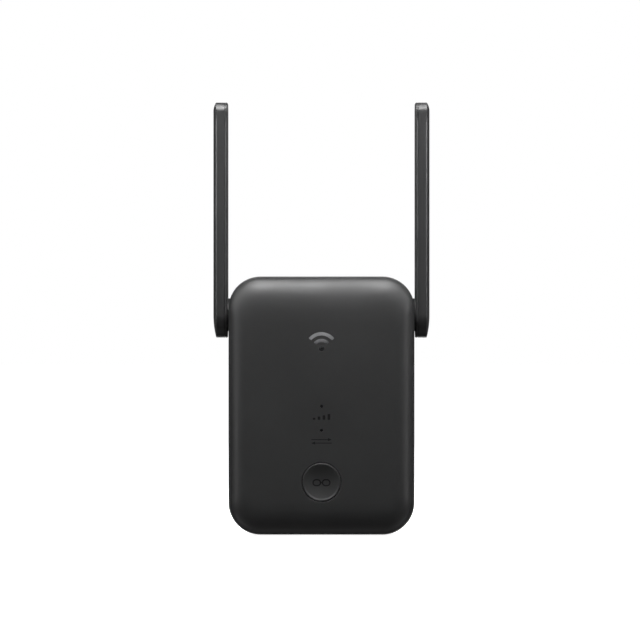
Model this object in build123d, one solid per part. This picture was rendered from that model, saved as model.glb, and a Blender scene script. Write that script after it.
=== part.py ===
from build123d import *

import os
from math import atan, cos, degrees, radians, sin, tan

# Plug-in wifi range extender with two folding antennas, in millimetres.
# The origin is the middle of the mains plug's end face, where it rests in the wall socket.
# +Y points into the wall, -Y to the room (the front), +Z is up and +X is the viewer's right.

# ---------------------------------------------------------------- driving dimensions
BODY_W, BODY_H, BODY_D = 75.6, 105.0, 31.0
BODY_CORNER = 13.0
WALL = 2.0
PLUG_REACH = 18.0  # the plug's nose stands this far out of the rear wall
PLUG_RISE = 12.0  # the plug's axis lies this far above the housing's middle
FRONT_SHELL_D = 11.0  # depth of the front cover, up to the parting line
EDGE_DEPTH = 8.5  # how far back the front face's soft edge begins
EDGE_SIDE, EDGE_TOP, EDGE_BOTTOM = 8.0, 18.0, 12.8  # how far in from the outline it meets the face
FACE_CORNER = 5.0

Y_REAR = -PLUG_REACH
Y_FRONT = Y_REAR - BODY_D
Y_SPLIT = Y_FRONT + FRONT_SHELL_D
Y_FLOOR = Y_REAR - WALL  # inner face of the rear wall
Y_LID = Y_FRONT + WALL  # inner face of the front wall
BODY_Z = -PLUG_RISE
Z_TOP, Z_BOTTOM = BODY_Z + BODY_H / 2, BODY_Z - BODY_H / 2
HALF_W = BODY_W / 2

# antennas and their hinges
HINGE_Y, HINGE_Z = Y_SPLIT + 9.5, Z_TOP - 15.6
HINGE_AXIS = Axis((0, HINGE_Y, HINGE_Z), (1, 0, 0))
BLADE_LENGTH = 86.7  # from the hinge axis to the tip
BLADE_R = 9.35  # half the blade's width, and the radius of its lower end
BLADE_T = 5.9
BLADE_DOME = 1.15  # how far the outer face bulges
BLADE_WALL = 1.2
TIP_CORNER, TIP_RUN = 4.0, 3.6  # side-view corner at the tip, and the length over which the dome ends
RIM_ROUND, RIDGE_ROUND = 0.4, 5.0  # at the blade's rim, and where the dome ends near the tip
SEAM_ROUND = 0.25
SIDE_GAP = 0.55  # between the housing's side and the blade
X_BLADE = HALF_W + SIDE_GAP
X_OUTER = X_BLADE + BLADE_T
COVER_T = 0.9
SEAM = 0.1
PAD_R = 6.8
HUB_R, HUB_CLEARANCE, HUB_BORE_R = 4.1, 0.05, 1.6
X_HUB_END = HALF_W - 6.0
X_SEAT = HALF_W - 2.8  # inner seat of the hinge, for the friction washer

# front controls
BUTTON_Z = Z_TOP - 83.35
BUTTON_R, BUTTON_GAP = 7.75, 0.2
BUTTON_RIM, BUTTON_DISH = 0.35, 1.2  # rounding at the cap's rim, and the depth of its finger dish
Y_BUTTON = Y_FRONT - 0.15  # the cap's rim stands just proud of the front
LED_Z = (Z_TOP - 52.6, Z_TOP - 62.3)
EMBLEM_Z = Z_TOP - 26.4

# circuit boards
MAIN_T, MAIN_FRONT = 1.2, Y_SPLIT - 1.0
MAIN_REAR = MAIN_FRONT + MAIN_T
POWER_T, POWER_REAR = 1.6, -33.0
POWER_FRONT = POWER_REAR - POWER_T
POWER_HALF_W, POWER_LOW, POWER_HIGH = 22.0, -26.0, 33.0
MAIN_SCREWS = [(25.5, 33.0), (-25.5, 33.0), (27.0, -54.0), (-27.0, -54.0)]
POWER_SCREWS = [(19.0, 30.0), (-19.0, 30.0), (19.0, -22.5), (-19.0, -22.5)]
SCREW_R, SCREW_HEAD_R, SCREW_HEAD_T, SCREW_LENGTH = 1.0, 1.9, 1.3, 6.0

# mains plug, two-pole 4 mm pins
PIN_SPACING, PIN_TIP_SPACING, PIN_LENGTH = 18.6, 17.5, 19.0
PIN_R, PIN_CORE_R, SLEEVE_R, SLEEVE_END = 2.0, 1.45, 1.83, 10.0
PIN_TAIL = -25.0
PIN_LEAN = degrees(atan((PIN_SPACING - PIN_TIP_SPACING) / 2 / PIN_LENGTH))
STAKES = [(21.0, 6.0), (-21.0, 6.0), (21.0, -6.0), (-21.0, -6.0)]
STAKE_R = 1.0

# network socket and reset switch, both in the bottom wall
JACK_W, JACK_H, JACK_D = 16.0, 13.4, 16.0
JACK_LOW = Z_BOTTOM + 0.2
RESET_X, RESET_Y = 16.5, MAIN_REAR + 2.0
RESET_HOLE_R = 0.75

CABLE_R = 0.565
X_CABLE_JOINT = X_HUB_END - 0.1  # the blade's cable meets the housing's cable here, on the hinge axis

EMBLEM_ARCS = [(3.3, 1.25), (6.0, 1.25)]  # middle radius and stroke of each arc
EMBLEM_SPAN = 50.0  # half angle of the arcs, from straight up
EMBLEM_DOT_R = 1.05
EMBLEM_FOOT_Z = EMBLEM_Z - 2.9


# ---------------------------------------------------------------- helpers
def box(x0, x1, y0, y1, z0, z1):
    """A block between two opposite corners."""
    size = (abs(x1 - x0), abs(y1 - y0), abs(z1 - z0))
    return Pos((x0 + x1) / 2, (y0 + y1) / 2, (z0 + z1) / 2) * Box(*size)


def rod_x(r, x0, x1, y, z):
    return Pos((x0 + x1) / 2, y, z) * Rot(0, 90, 0) * Cylinder(r, abs(x1 - x0))


def rod_y(r, y0, y1, x, z):
    return Pos(x, (y0 + y1) / 2, z) * Rot(90, 0, 0) * Cylinder(r, abs(y1 - y0))


def rod_z(r, z0, z1, x, y):
    return Pos(x, y, (z0 + z1) / 2) * Cylinder(r, abs(z1 - z0))


def tube_y(r_out, r_in, y0, y1, x, z):
    return rod_y(r_out, y0, y1, x, z) - rod_y(r_in, y0, y1, x, z)


def prism_y(sketch, y0, y1):
    """A sketch drawn in (x, z), given depth between two values of y."""
    return Pos(0, max(y0, y1), 0) * Rot(90, 0, 0) * extrude(sketch, abs(y1 - y0))


def outline(inset, y0, y1):
    """The housing's rounded outline, drawn in by inset all round."""
    sketch = RectangleRounded(BODY_W - 2 * inset, BODY_H - 2 * inset, BODY_CORNER - inset)
    return prism_y(Pos(0, BODY_Z) * sketch, y0, y1)


def is_ring(edge, r, y):
    """Whether an edge is the circle of radius r about a front-to-back axis, at depth y."""
    tolerance = 0.01
    if edge.geom_type != GeomType.CIRCLE:
        return False
    return abs(edge.radius - r) < tolerance and abs(edge.center().Y - y) < tolerance


def both_sides(right):
    return right, mirror(right, about=Plane.YZ)


def block_with_round_corners(w, d, h, r):
    """A block standing on z = 0 with its four upright edges rounded."""
    return extrude(RectangleRounded(w, d, r), h)


def route(points, r):
    """A round cable through points: straight runs, and arcs as large as the runs beside them allow."""
    vectors = [Vector(*p) for p in points]
    radii = []
    for before, here, after in zip(vectors, vectors[1:], vectors[2:]):
        run_in, run_out = here - before, after - here
        turn = radians(run_in.get_angle(run_out))
        radii.append(0.45 * min(run_in.length, run_out.length) / tan(turn / 2))
    path = FilletPolyline(*points, radius=radii)
    section = Plane(origin=path @ 0, z_dir=path % 0) * Circle(r)
    print("cable radii", [round(x, 1) for x in radii], "length", round(path.length, 1))
    return sweep(section, path)


# ---------------------------------------------------------------- housing
def front_form():
    """The front cover's outer form: straight walls that turn into the flat face by a soft edge.

    The edge's profile is a parabola, tangent to the wall and to the face.
    """
    steps = 12
    sections = []
    for step in range(steps + 1):
        along = step / steps
        y = Y_FRONT + EDGE_DEPTH * (1 - along) ** 2
        share = along**2
        width = BODY_W - 2 * EDGE_SIDE * share
        height = BODY_H - (EDGE_TOP + EDGE_BOTTOM) * share
        middle = BODY_Z + (EDGE_BOTTOM - EDGE_TOP) / 2 * share
        corner = BODY_CORNER - (BODY_CORNER - FACE_CORNER) * share
        plane = Plane(origin=(0, y, middle), x_dir=(1, 0, 0), z_dir=(0, -1, 0))
        sections.append(plane * RectangleRounded(width, height, corner))
    return outline(0, Y_SPLIT, Y_FRONT + EDGE_DEPTH) + loft(sections)


def emblem_sketch(grow):
    """A generic fan of two arcs over a dot, each stroke widened by grow on every side."""
    half_turn = radians(EMBLEM_SPAN)
    strokes = Pos(0, EMBLEM_FOOT_Z) * Circle(EMBLEM_DOT_R + grow)
    for middle, stroke in EMBLEM_ARCS:
        band = Circle(middle + stroke / 2 + grow) - Circle(middle - stroke / 2 - grow)
        reach = 3 * middle
        side = grow / cos(half_turn)
        wedge = Polygon(
            (0, -side / tan(half_turn)),
            (reach * sin(half_turn), reach * cos(half_turn) - side),
            (0, 3 * reach),
            (-reach * sin(half_turn), reach * cos(half_turn) - side),
            align=None,
        )
        strokes += Pos(0, EMBLEM_FOOT_Z) * (band & wedge)
    return strokes


SNAPS = [(1, 0, 8.0), (1, 0, -42.0), (-1, 0, 8.0), (-1, 0, -42.0), (0, 1, 12.0), (0, 1, -12.0)]
TONGUE_OUT, TONGUE_IN, TONGUE_END = WALL + 0.1, WALL + 1.1, Y_SPLIT + 2.0
SNAP_Y = Y_SPLIT + 1.3


def snaps(length, height, depth):
    """The bumps that lock the covers, or the pockets that take them, round the parting line."""
    found = []
    root_x, root_z = HALF_W - TONGUE_OUT, BODY_H / 2 - TONGUE_OUT
    y_span = (SNAP_Y - depth / 2, SNAP_Y + depth / 2)
    for side, end, place in SNAPS:
        span = (place - length / 2, place + length / 2)
        if side:
            found.append(box(side * (root_x - 0.3), side * (root_x + height), *y_span, *span))
        else:
            z0, z1 = BODY_Z + end * (root_z - 0.3), BODY_Z + end * (root_z + height)
            found.append(box(*span, *y_span, z0, z1))
    return found


GUIDE_R = BUTTON_R + BUTTON_GAP
GUIDE_END = Y_LID + 2.6
LIGHT_PIN_R, LIGHT_HOLE_R = 0.6, 0.65
LIGHT_STAKE_Z = sum(LED_Z) / 2


def front_cover():
    cover = front_form()
    cavity = outline(WALL, Y_SPLIT, Y_LID)
    cavity = fillet(cavity.faces().sort_by(Axis.Y)[0].edges(), 6.4)
    cover -= cavity
    cover += outline(WALL - 0.2, Y_SPLIT - 2.5, Y_SPLIT) - outline(TONGUE_IN, Y_SPLIT - 2.5, Y_SPLIT)
    cover += outline(TONGUE_OUT, Y_SPLIT - 0.5, TONGUE_END) - outline(TONGUE_IN, Y_SPLIT - 0.5, TONGUE_END)
    for bump in snaps(6.0, 0.5, 1.0):
        cover += bump
    # the tongue stops where the network socket, the reset switch and the hinges need the room
    cover -= box(-JACK_W / 2 - 0.6, JACK_W / 2 + 0.6, Y_SPLIT - 0.6, TONGUE_END, Z_BOTTOM, Z_BOTTOM + 6)
    cover -= box(RESET_X - 4, RESET_X + 4, Y_SPLIT, TONGUE_END, Z_BOTTOM, Z_BOTTOM + 6)
    # button guide and opening
    cover += rod_y(GUIDE_R + 1.3, Y_FRONT + 1, GUIDE_END, 0, BUTTON_Z)
    cover -= rod_y(GUIDE_R, Y_FRONT - 1, GUIDE_END + 1, 0, BUTTON_Z)
    cover = fillet(cover.edges().filter_by(lambda e: is_ring(e, GUIDE_R, Y_FRONT)), 0.25)
    # light openings, wider behind, and the post that the light guide is staked to
    for z in LED_Z:
        cover -= rod_y(LIGHT_HOLE_R, Y_FRONT - 1, Y_LID + 1, 0, z)
        cover -= rod_y(1.6, Y_FRONT + 0.9, Y_LID + 1, 0, z)
    cover += rod_y(0.9, Y_LID - 0.5, Y_LID + 2.0, 0, LIGHT_STAKE_Z)
    cover += rod_y(1.4, Y_LID + 1.85, Y_LID + 2.45, 0, LIGHT_STAKE_Z)
    # emblem strokes are let in from behind
    cover -= prism_y(emblem_sketch(0.06), Y_FRONT - 1, Y_LID + 1)
    for z in (Z_TOP - 14.0, Z_BOTTOM + 8.0):
        cover += box(-24, 24, Y_LID - 0.2, Y_LID + 1.6, z - 0.5, z + 0.5)
    return cover


def hinge_seat():
    """The right-hand pad that the antenna turns on, standing just proud of the side wall."""
    return rod_x(PAD_R, X_SEAT, X_BLADE - 0.35, HINGE_Y, HINGE_Z)


def plug_outline(grow):
    half_w, half_h, end_h, slope_x = 17.65 + grow, 6.85 + grow, 3.1 + grow * 0.7, 11.6 + grow * 0.4
    corners = [(half_w, end_h), (slope_x, half_h), (-slope_x, half_h), (-half_w, end_h)]
    corners += [(-x, -z) for x, z in corners]
    shape = Polygon(*corners, align=None)
    return fillet(shape.vertices(), 1.8)


LABEL_W, LABEL_H, LABEL_Z, LABEL_DEEP, LABEL_T = 46.0, 30.0, -38.0, 0.3, 0.15
VENT_W, VENT_PITCH, VENT_Y = 1.6, 3.6, (Y_SPLIT + 5.0, Y_REAR - 5.0)


def vents():
    """Slots that let the warm air out: through both side walls, and through the top."""
    slots = []
    y_mid, length = sum(VENT_Y) / 2, VENT_Y[1] - VENT_Y[0]
    slot = SlotOverall(length, VENT_W)
    side_slot = extrude(slot, 8, both=True)
    for i in range(13):
        z = 5.0 - i * VENT_PITCH
        for side in (1, -1):
            slots.append(Pos(side * HALF_W, y_mid, z) * Rot(0, 90, 0) * Rot(0, 0, 90) * side_slot)
    for i in range(11):
        x = (i - 5) * VENT_PITCH
        slots.append(Pos(x, y_mid, Z_TOP) * Rot(0, 0, 90) * side_slot)
    return slots


def rear_cover():
    cover = outline(0, Y_SPLIT, Y_REAR)
    cover = fillet(cover.faces().sort_by(Axis.Y)[-1].edges(), 4.0)
    cavity = outline(WALL, Y_SPLIT - 1, Y_FLOOR)
    cavity = fillet(cavity.faces().sort_by(Axis.Y)[-1].edges(), 2.5)
    cover -= cavity
    # a fine groove shows where the covers meet
    groove = 0.3
    cover -= outline(-1, Y_SPLIT, Y_SPLIT + groove) - outline(groove, Y_SPLIT, Y_SPLIT + groove)
    for seat in both_sides(hinge_seat()):
        cover += seat
    for bore in both_sides(rod_x(HUB_R + HUB_CLEARANCE, X_SEAT - 3, X_BLADE, HINGE_Y, HINGE_Z)):
        cover -= bore
    for pocket in snaps(6.6, 0.65, 1.3):
        cover -= pocket
    # bosses for both boards and stakes for the plug
    for x, z in MAIN_SCREWS:
        cover += rod_y(2.75, Y_FLOOR + 0.5, MAIN_REAR, x, z)
        cover -= rod_y(SCREW_R, MAIN_REAR + SCREW_LENGTH, MAIN_REAR - 1, x, z)
    for x, z in POWER_SCREWS:
        cover += rod_y(2.5, Y_FLOOR + 0.5, POWER_REAR, x, z)
        cover -= rod_y(SCREW_R, POWER_REAR + SCREW_LENGTH, POWER_REAR - 1, x, z)
    cover -= prism_y(plug_outline(0.1), Y_FLOOR - 2.0, Y_REAR + 1)
    for x, z in STAKES:
        cover += rod_y(STAKE_R, Y_FLOOR + 0.5, Y_FLOOR - 2.2, x, z)
        cover += rod_y(STAKE_R + 0.7, Y_FLOOR - 2.05, Y_FLOOR - 2.75, x, z)
    # openings in the bottom wall
    margin = 0.25
    jack_y = (MAIN_REAR - margin, MAIN_REAR + JACK_H + margin)
    cover -= box(-JACK_W / 2 - margin, JACK_W / 2 + margin, *jack_y, Z_BOTTOM - 1, Z_BOTTOM + WALL + 1)
    cover -= rod_z(RESET_HOLE_R, Z_BOTTOM - 1, Z_BOTTOM + WALL + 1, RESET_X, RESET_Y)
    cover -= Pos(RESET_X, RESET_Y, Z_BOTTOM + 0.2) * Cone(RESET_HOLE_R + 0.5, RESET_HOLE_R, 0.5)
    for slot in vents():
        cover -= slot
    label = Pos(0, LABEL_Z) * RectangleRounded(LABEL_W + 0.4, LABEL_H + 0.4, 2.2)
    cover -= prism_y(label, Y_REAR - LABEL_DEEP, Y_REAR + 1)
    return cover


def rating_label():
    y0 = Y_REAR - LABEL_DEEP
    return prism_y(Pos(0, LABEL_Z) * RectangleRounded(LABEL_W, LABEL_H, 2.0), y0, y0 + LABEL_T)


def emblem_insert():
    insert = prism_y(emblem_sketch(0), Y_FRONT + 0.12, Y_LID + 0.1)
    plate = Pos(0, EMBLEM_Z + 0.2) * RectangleRounded(14.5, 11.5, 2)
    return insert + prism_y(plate, Y_LID + 0.02, Y_LID + 0.8)


# ---------------------------------------------------------------- front button and lights
FLANGE_R, FLANGE_T = BUTTON_R + 1.25, 0.8
PLUNGER_TOP = MAIN_FRONT - 5.0


def wps_button():
    skirt_end = GUIDE_END + 0.1 + FLANGE_T
    cap = rod_y(BUTTON_R, Y_BUTTON, skirt_end, 0, BUTTON_Z)
    cap = fillet(cap.edges().filter_by(GeomType.CIRCLE).sort_by(Axis.Y)[0], BUTTON_RIM)
    cap += rod_y(FLANGE_R, GUIDE_END + 0.1, skirt_end, 0, BUTTON_Z)
    cap -= rod_y(BUTTON_R - 1.2, Y_FRONT + 1.9, skirt_end + 1, 0, BUTTON_Z)
    dish_r = ((BUTTON_R - BUTTON_RIM) ** 2 + BUTTON_DISH**2) / (2 * BUTTON_DISH)
    cap -= Pos(0, Y_BUTTON + BUTTON_DISH - dish_r, BUTTON_Z) * Sphere(dish_r)
    cap += rod_y(2.2, Y_FRONT + 1.5, PLUNGER_TOP, 0, BUTTON_Z)
    for turn in (0, 90):
        rib = box(-BUTTON_R + 0.9, BUTTON_R - 0.9, Y_FRONT + 1.5, PLUNGER_TOP - 1.2, -0.4, 0.4)
        cap += Pos(0, 0, BUTTON_Z) * Rot(0, turn, 0) * rib
    return cap


def wps_switch():
    """The tactile switch behind the button: built standing on z = 0, then turned to face the front."""
    well_r, plunger_r = 1.8, 1.75
    body = block_with_round_corners(6, 6, 3.4, 0.4)
    body -= Pos(0, 0, 2.4) * Cylinder(well_r, 3.0)
    cover_plate = Pos(0, 0, 3.15) * Box(5.4, 5.4, 0.5)
    body += cover_plate - Pos(0, 0, 3.15) * Cylinder(well_r, 1)
    for x in (-1, 1):
        for y in (-1, 1):
            body += Pos(x * 3.3, y * 2.2, 0.35) * Box(1.0, 0.8, 0.7)
    plunger = Pos(0, 0, 3.15) * Cylinder(plunger_r, 3.7)
    plunger = chamfer(plunger.edges().sort_by(Axis.Z)[-1], 0.2)
    place = Pos(0, MAIN_FRONT, BUTTON_Z) * Rot(90, 0, 0)
    return place * body, place * plunger


def reset_switch():
    """A small right-angle switch on the main board's rear, with its plunger over the pin hole."""
    top = Z_BOTTOM + 6.6
    body = box(RESET_X - 3.0, RESET_X + 3.0, MAIN_REAR, MAIN_REAR + 3.8, top, top + 3.6)
    body -= rod_z(0.95, top - 1, top + 1.6, RESET_X, RESET_Y)
    plunger = rod_z(0.9, top - 1.6, top + 1.2, RESET_X, RESET_Y)
    return body, plunger


def light_guide():
    plate_y = Y_LID + 0.6
    plate = Pos(0, LIGHT_STAKE_Z) * RectangleRounded(5.0, 15.0, 1.0)
    guide = prism_y(plate, plate_y, plate_y + 1.2)
    for z in LED_Z:
        guide += rod_y(1.45, Y_FRONT + 1.0, plate_y + 0.5, 0, z)
        guide += rod_y(LIGHT_PIN_R, Y_FRONT + 0.25, Y_FRONT + 1.2, 0, z)
        guide += rod_y(1.5, plate_y + 1.0, MAIN_FRONT - 0.9, 0, z)
    return guide - rod_y(0.95, Y_LID, plate_y + 2, 0, LIGHT_STAKE_Z)


def status_leds():
    return Compound(children=[box(-0.8, 0.8, MAIN_FRONT - 0.65, MAIN_FRONT, z - 0.5, z + 0.5) for z in LED_Z])


# ---------------------------------------------------------------- mains plug
def lean(side, shape):
    """Puts something built along +Y on the left or right pin's line: the pins lean together."""
    return Pos(side * PIN_SPACING / 2, 0, 0) * Rot(0, 0, side * PIN_LEAN) * shape


def pin_form():
    core = rod_y(PIN_CORE_R, PIN_TAIL, SLEEVE_END + 0.5, 0, 0)
    tip = rod_y(PIN_R, SLEEVE_END, PIN_LENGTH, 0, 0)
    tip = fillet(tip.edges().filter_by(GeomType.CIRCLE).sort_by(Axis.Y)[-1], 1.4)
    return core + tip


def sleeve_form():
    return tube_y(SLEEVE_R, PIN_CORE_R, -4.0, SLEEVE_END, 0, 0)


def plug_body():
    nose = prism_y(plug_outline(0), Y_FLOOR - 1, 0)
    nose = fillet(nose.faces().sort_by(Axis.Y)[-1].edges(), 0.7)
    flange = prism_y(RectangleRounded(48, 20, 3), Y_FLOOR - 2.0, Y_FLOOR)
    body = nose + flange
    body -= box(-4.5, 4.5, Y_FLOOR - 3, -2.5, -4.6, 4.6)
    for side in (1, -1):
        body -= box(side * 13.2, side * 15.6, Y_FLOOR - 3, -2.5, -2.8, 2.8)
        body -= lean(side, rod_y(PIN_CORE_R, PIN_TAIL, 1, 0, 0))
        body -= lean(side, rod_y(SLEEVE_R, -4.0, 1, 0, 0))
        body -= rod_y(SLEEVE_R + 0.4, -0.8, 1, side * PIN_SPACING / 2, 0)
    for x, z in STAKES:
        body -= rod_y(STAKE_R + 0.1, Y_FLOOR - 4, Y_FLOOR + 1, x, z)
    return body


def pin_contacts():
    """Two folded strips that carry the mains from the pins' tails to the power board."""
    strips = []
    y_tab, metal = PIN_TAIL + 0.8, 0.4
    for side in (1, -1):
        x = side * (PIN_SPACING / 2 + 0.7)
        strip = box(x - 2.4, x + 2.4, y_tab - metal, y_tab, -2.6, 4.4)
        strip += box(x - 2.4, x + 2.4, POWER_REAR, y_tab, 4.0, 4.4)
        strip += box(x - 2.4, x + 2.4, POWER_REAR, POWER_REAR + metal, 4.0, 7.5)
        strips.append(strip - lean(side, rod_y(PIN_CORE_R, PIN_TAIL - 1, 0, 0, 0)))
    return Compound(children=strips)


# ---------------------------------------------------------------- power supply
HEADER_Z, HEADER_PITCH = -24.0, 2.54
HEADER_X = [(i - 1.5) * HEADER_PITCH for i in range(4)]


def header_pins():
    half = 0.32
    span = (MAIN_FRONT - 1.0, POWER_REAR + 1.0, HEADER_Z - half, HEADER_Z + half)
    return Compound(children=[box(x - half, x + half, *span) for x in HEADER_X])


def header_body():
    block = box(-5.2, 5.2, MAIN_REAR, POWER_FRONT, HEADER_Z - 1.25, HEADER_Z + 1.25)
    return block - header_pins()


def power_board():
    middle = (POWER_LOW + POWER_HIGH) / 2
    sketch = Pos(0, middle) * RectangleRounded(2 * POWER_HALF_W, POWER_HIGH - POWER_LOW, 1.5)
    board = prism_y(sketch, POWER_FRONT, POWER_REAR)
    for x, z in POWER_SCREWS:
        board -= rod_y(SCREW_R + 0.15, POWER_FRONT - 1, POWER_REAR + 1, x, z)
    # the slot keeps the mains side apart from the low-voltage side
    board -= box(-12, 12, POWER_FRONT - 1, POWER_REAR + 1, 9.6, 10.6)
    return board - header_pins()


def transformer():
    """Ferrite core and its taped winding on a bobbin, standing on the power board."""
    x, z, low = 0.0, 20.0, POWER_REAR
    core = box(x - 6.5, x + 6.5, low + 1.6, low + 11.6, z - 3.0, z + 3.0)
    core -= box(x - 4.4, x + 4.4, low + 3.8, low + 9.4, z - 4, z + 4)
    core += box(x - 1.5, x + 1.5, low + 3.0, low + 10.0, z - 3.0, z + 3.0)
    winding = box(x - 4.3, x + 4.3, low + 3.9, low + 9.3, z - 6.2, z + 6.2)
    winding = fillet(winding.edges().filter_by(Axis.Y), 1.2)
    bobbin = winding + box(x - 6.5, x + 6.5, low, low + 1.5, z - 7.0, z + 7.0)
    bobbin += box(x - 2.0, x + 2.0, low + 1.0, low + 4.2, z - 6.5, z - 4.5)
    bobbin += box(x - 2.0, x + 2.0, low + 1.0, low + 4.2, z + 4.5, z + 6.5)
    bobbin -= box(x - 1.5, x + 1.5, low + 3.0, low + 10.0, z - 3.0, z + 3.0)
    return core, bobbin


def can_capacitor(r, length):
    """An electrolytic can along +X from x = 0, with the groove near its seal."""
    can = fillet(rod_x(r, 0, length, 0, 0).edges().filter_by(GeomType.CIRCLE), 0.5)
    return can - (rod_x(r + 1, 1.4, 2.2, 0, 0) - rod_x(r - 0.3, 1.3, 2.3, 0, 0))


def bulk_capacitors():
    low = POWER_REAR + 4.2
    right = Pos(4.0, low, -16.0) * can_capacitor(4.0, 12.5)
    return Compound(children=list(both_sides(right)))


def output_capacitor():
    return Pos(15.5, POWER_REAR + 0.2, 21.0) * Rot(0, 0, 90) * can_capacitor(3.15, 11.0)


def input_choke():
    """A drum core with its winding between two flanges."""
    x, z, low = 16.5, -8.3, POWER_REAR
    choke = rod_y(3.0, low, low + 1.2, x, z) + rod_y(3.0, low + 6.3, low + 7.5, x, z)
    return choke + rod_y(2.6, low, low + 7.5, x, z)


def fuse_resistor():
    low = POWER_REAR + 2.2
    body = fillet(rod_x(1.8, -4.5, 4.5, low, -8.5).edges(), 0.6)
    for side in (1, -1):
        body += rod_x(0.3, side * 4.3, side * 6.6, low, -8.5)
        body += rod_y(0.3, POWER_REAR, low + 0.3, side * 6.6, -8.5)
    return body


def bridge_rectifier():
    x, z, low = -16.5, -9.0, POWER_REAR
    chip = box(x - 2.4, x + 2.4, low + 0.1, low + 2.6, z - 2.0, z + 2.0)
    for dx in (-1.25, 1.25):
        chip += box(x + dx - 0.35, x + dx + 0.35, low, low + 0.9, z - 3.3, z + 3.3)
    return chip


def safety_capacitor():
    disc = rod_x(3.6, -13.4, -10.4, POWER_REAR + 4.8, 12.5)
    disc = fillet(disc.edges(), 1.1)
    for dz in (-2.5, 2.5):
        disc += rod_y(0.3, POWER_REAR, POWER_REAR + 3.2, -11.9, 12.5 + dz)
    return disc


def chip_with_legs(w, d, h, per_side, pitch):
    """A moulded chip standing on z = 0 with gull-wing legs along its two long sides."""
    chip = Pos(0, 0, h / 2 + 0.1) * Box(w, d, h)
    chip = chamfer(chip.edges().group_by(Axis.Z)[-1], 0.2)
    for i in range(per_side):
        x = (i - (per_side - 1) / 2) * pitch
        chip += Pos(x, 0, 0.2) * Box(pitch * 0.35, d + 2.0, 0.4)
    return chip


FACE_REAR, FACE_FRONT = Rot(-90, 0, 0), Rot(90, 0, 0)


def power_controller():
    return Pos(-16.0, POWER_REAR, 25.0) * FACE_REAR * Rot(0, 0, 90) * chip_with_legs(4.9, 3.9, 1.4, 4, 1.27)


def optocoupler():
    return Pos(13.5, POWER_REAR, 11.5) * FACE_REAR * Rot(0, 0, 90) * chip_with_legs(4.6, 6.4, 3.4, 2, 2.54)


def insulating_sheet():
    """A film on the power board's front, with holes for the screw heads and the header."""
    thickness = 0.25
    middle = (POWER_LOW + POWER_HIGH) / 2
    sketch = Pos(0, middle) * RectangleRounded(2 * POWER_HALF_W + 0.6, POWER_HIGH - POWER_LOW + 0.6, 1.8)
    sheet = prism_y(sketch, POWER_FRONT - thickness, POWER_FRONT)
    for x, z in POWER_SCREWS:
        sheet -= rod_y(SCREW_HEAD_R + 0.4, POWER_FRONT - 1, POWER_FRONT + 1, x, z)
    return sheet - box(-6, 6, POWER_FRONT - 1, POWER_FRONT + 1, HEADER_Z - 2, HEADER_Z + 2)


# ---------------------------------------------------------------- main board
MAIN_W, MAIN_LOW, MAIN_HIGH = 67.0, Z_BOTTOM + 3.5, Z_TOP - 4.5
PROCESSOR = (-6.0, 15.0)
CANS = [(-6.0, 15.0, 27.0, 23.0, 2.6), (17.5, -8.0, 19.0, 17.0, 2.2)]  # x, z, width, height, rise


def main_board():
    sketch = Pos(0, (MAIN_LOW + MAIN_HIGH) / 2) * RectangleRounded(MAIN_W, MAIN_HIGH - MAIN_LOW, 9)
    board = prism_y(sketch, MAIN_FRONT, MAIN_REAR)
    for x, z in MAIN_SCREWS:
        board -= rod_y(SCREW_R + 0.15, MAIN_FRONT - 1, MAIN_REAR + 1, x, z)
    return board - header_pins()


def shield_cans():
    """Thin pressed lids over the radio circuits, open towards the board."""
    sheet, air_hole_r, air_hole_pitch = 0.25, 0.5, 3.4
    lids = []
    for x, z, w, h, rise in CANS:
        top = MAIN_FRONT - rise
        lid = Pos(x, z) * RectangleRounded(w, h, 0.8)
        room = Pos(x, z) * RectangleRounded(w - 2 * sheet, h - 2 * sheet, 0.6)
        can = prism_y(lid, MAIN_FRONT, top) - prism_y(room, MAIN_FRONT + 1, top + sheet)
        for i in range(-2, 3):
            can -= rod_y(air_hole_r, top - 1, top + 1, x + i * air_hole_pitch, z + h / 2 - 2.2)
        lids.append(can)
    return Compound(children=lids)


def processor_chip():
    x, z = PROCESSOR
    return box(x - 6, x + 6, MAIN_FRONT - 1.0, MAIN_FRONT, z - 6, z + 6)


CAN_TOP = MAIN_FRONT - CANS[0][4]
PAD_T, SPREADER_T, FIN_T, FIN_H, FIN_PITCH = 0.5, 1.0, 0.8, 1.6, 2.5


def thermal_pad():
    x, z = PROCESSOR
    return box(x - 8, x + 8, CAN_TOP - PAD_T, CAN_TOP, z - 7, z + 7)


def heat_spreader():
    x, z = PROCESSOR
    low = CAN_TOP - PAD_T
    plate = box(x - 12, x + 12, low - SPREADER_T, low, z - 9.5, z + 9.5)
    plate = chamfer(plate.edges().filter_by(Axis.Y), 1.0)
    fin = box(x - FIN_T / 2, x + FIN_T / 2, low - SPREADER_T - FIN_H, low - 0.5, z - 9.0, z + 9.0)
    for i in range(-4, 5):
        plate += Pos(i * FIN_PITCH, 0, 0) * fin
    return plate


def memory_chips():
    flash = Pos(-22.5, MAIN_FRONT, -8.0) * FACE_FRONT * chip_with_legs(4.9, 3.9, 1.4, 4, 1.27)
    ram = Pos(-14.0, MAIN_FRONT, -6.0) * FACE_FRONT * chip_with_legs(9.0, 6.0, 1.0, 7, 1.2)
    switch = Pos(-15.0, MAIN_FRONT, -34.0) * FACE_FRONT * chip_with_legs(7.0, 7.0, 1.2, 8, 0.8)
    return Compound(children=[flash, ram, switch])


def crystal():
    return Pos(13.5, MAIN_FRONT, 17.0) * FACE_FRONT * block_with_round_corners(5.0, 3.2, 1.2, 1.2)


def network_transformer():
    return Pos(0, MAIN_REAR, -41.0) * FACE_REAR * chip_with_legs(12.7, 7.2, 5.6, 8, 1.27)


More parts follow.
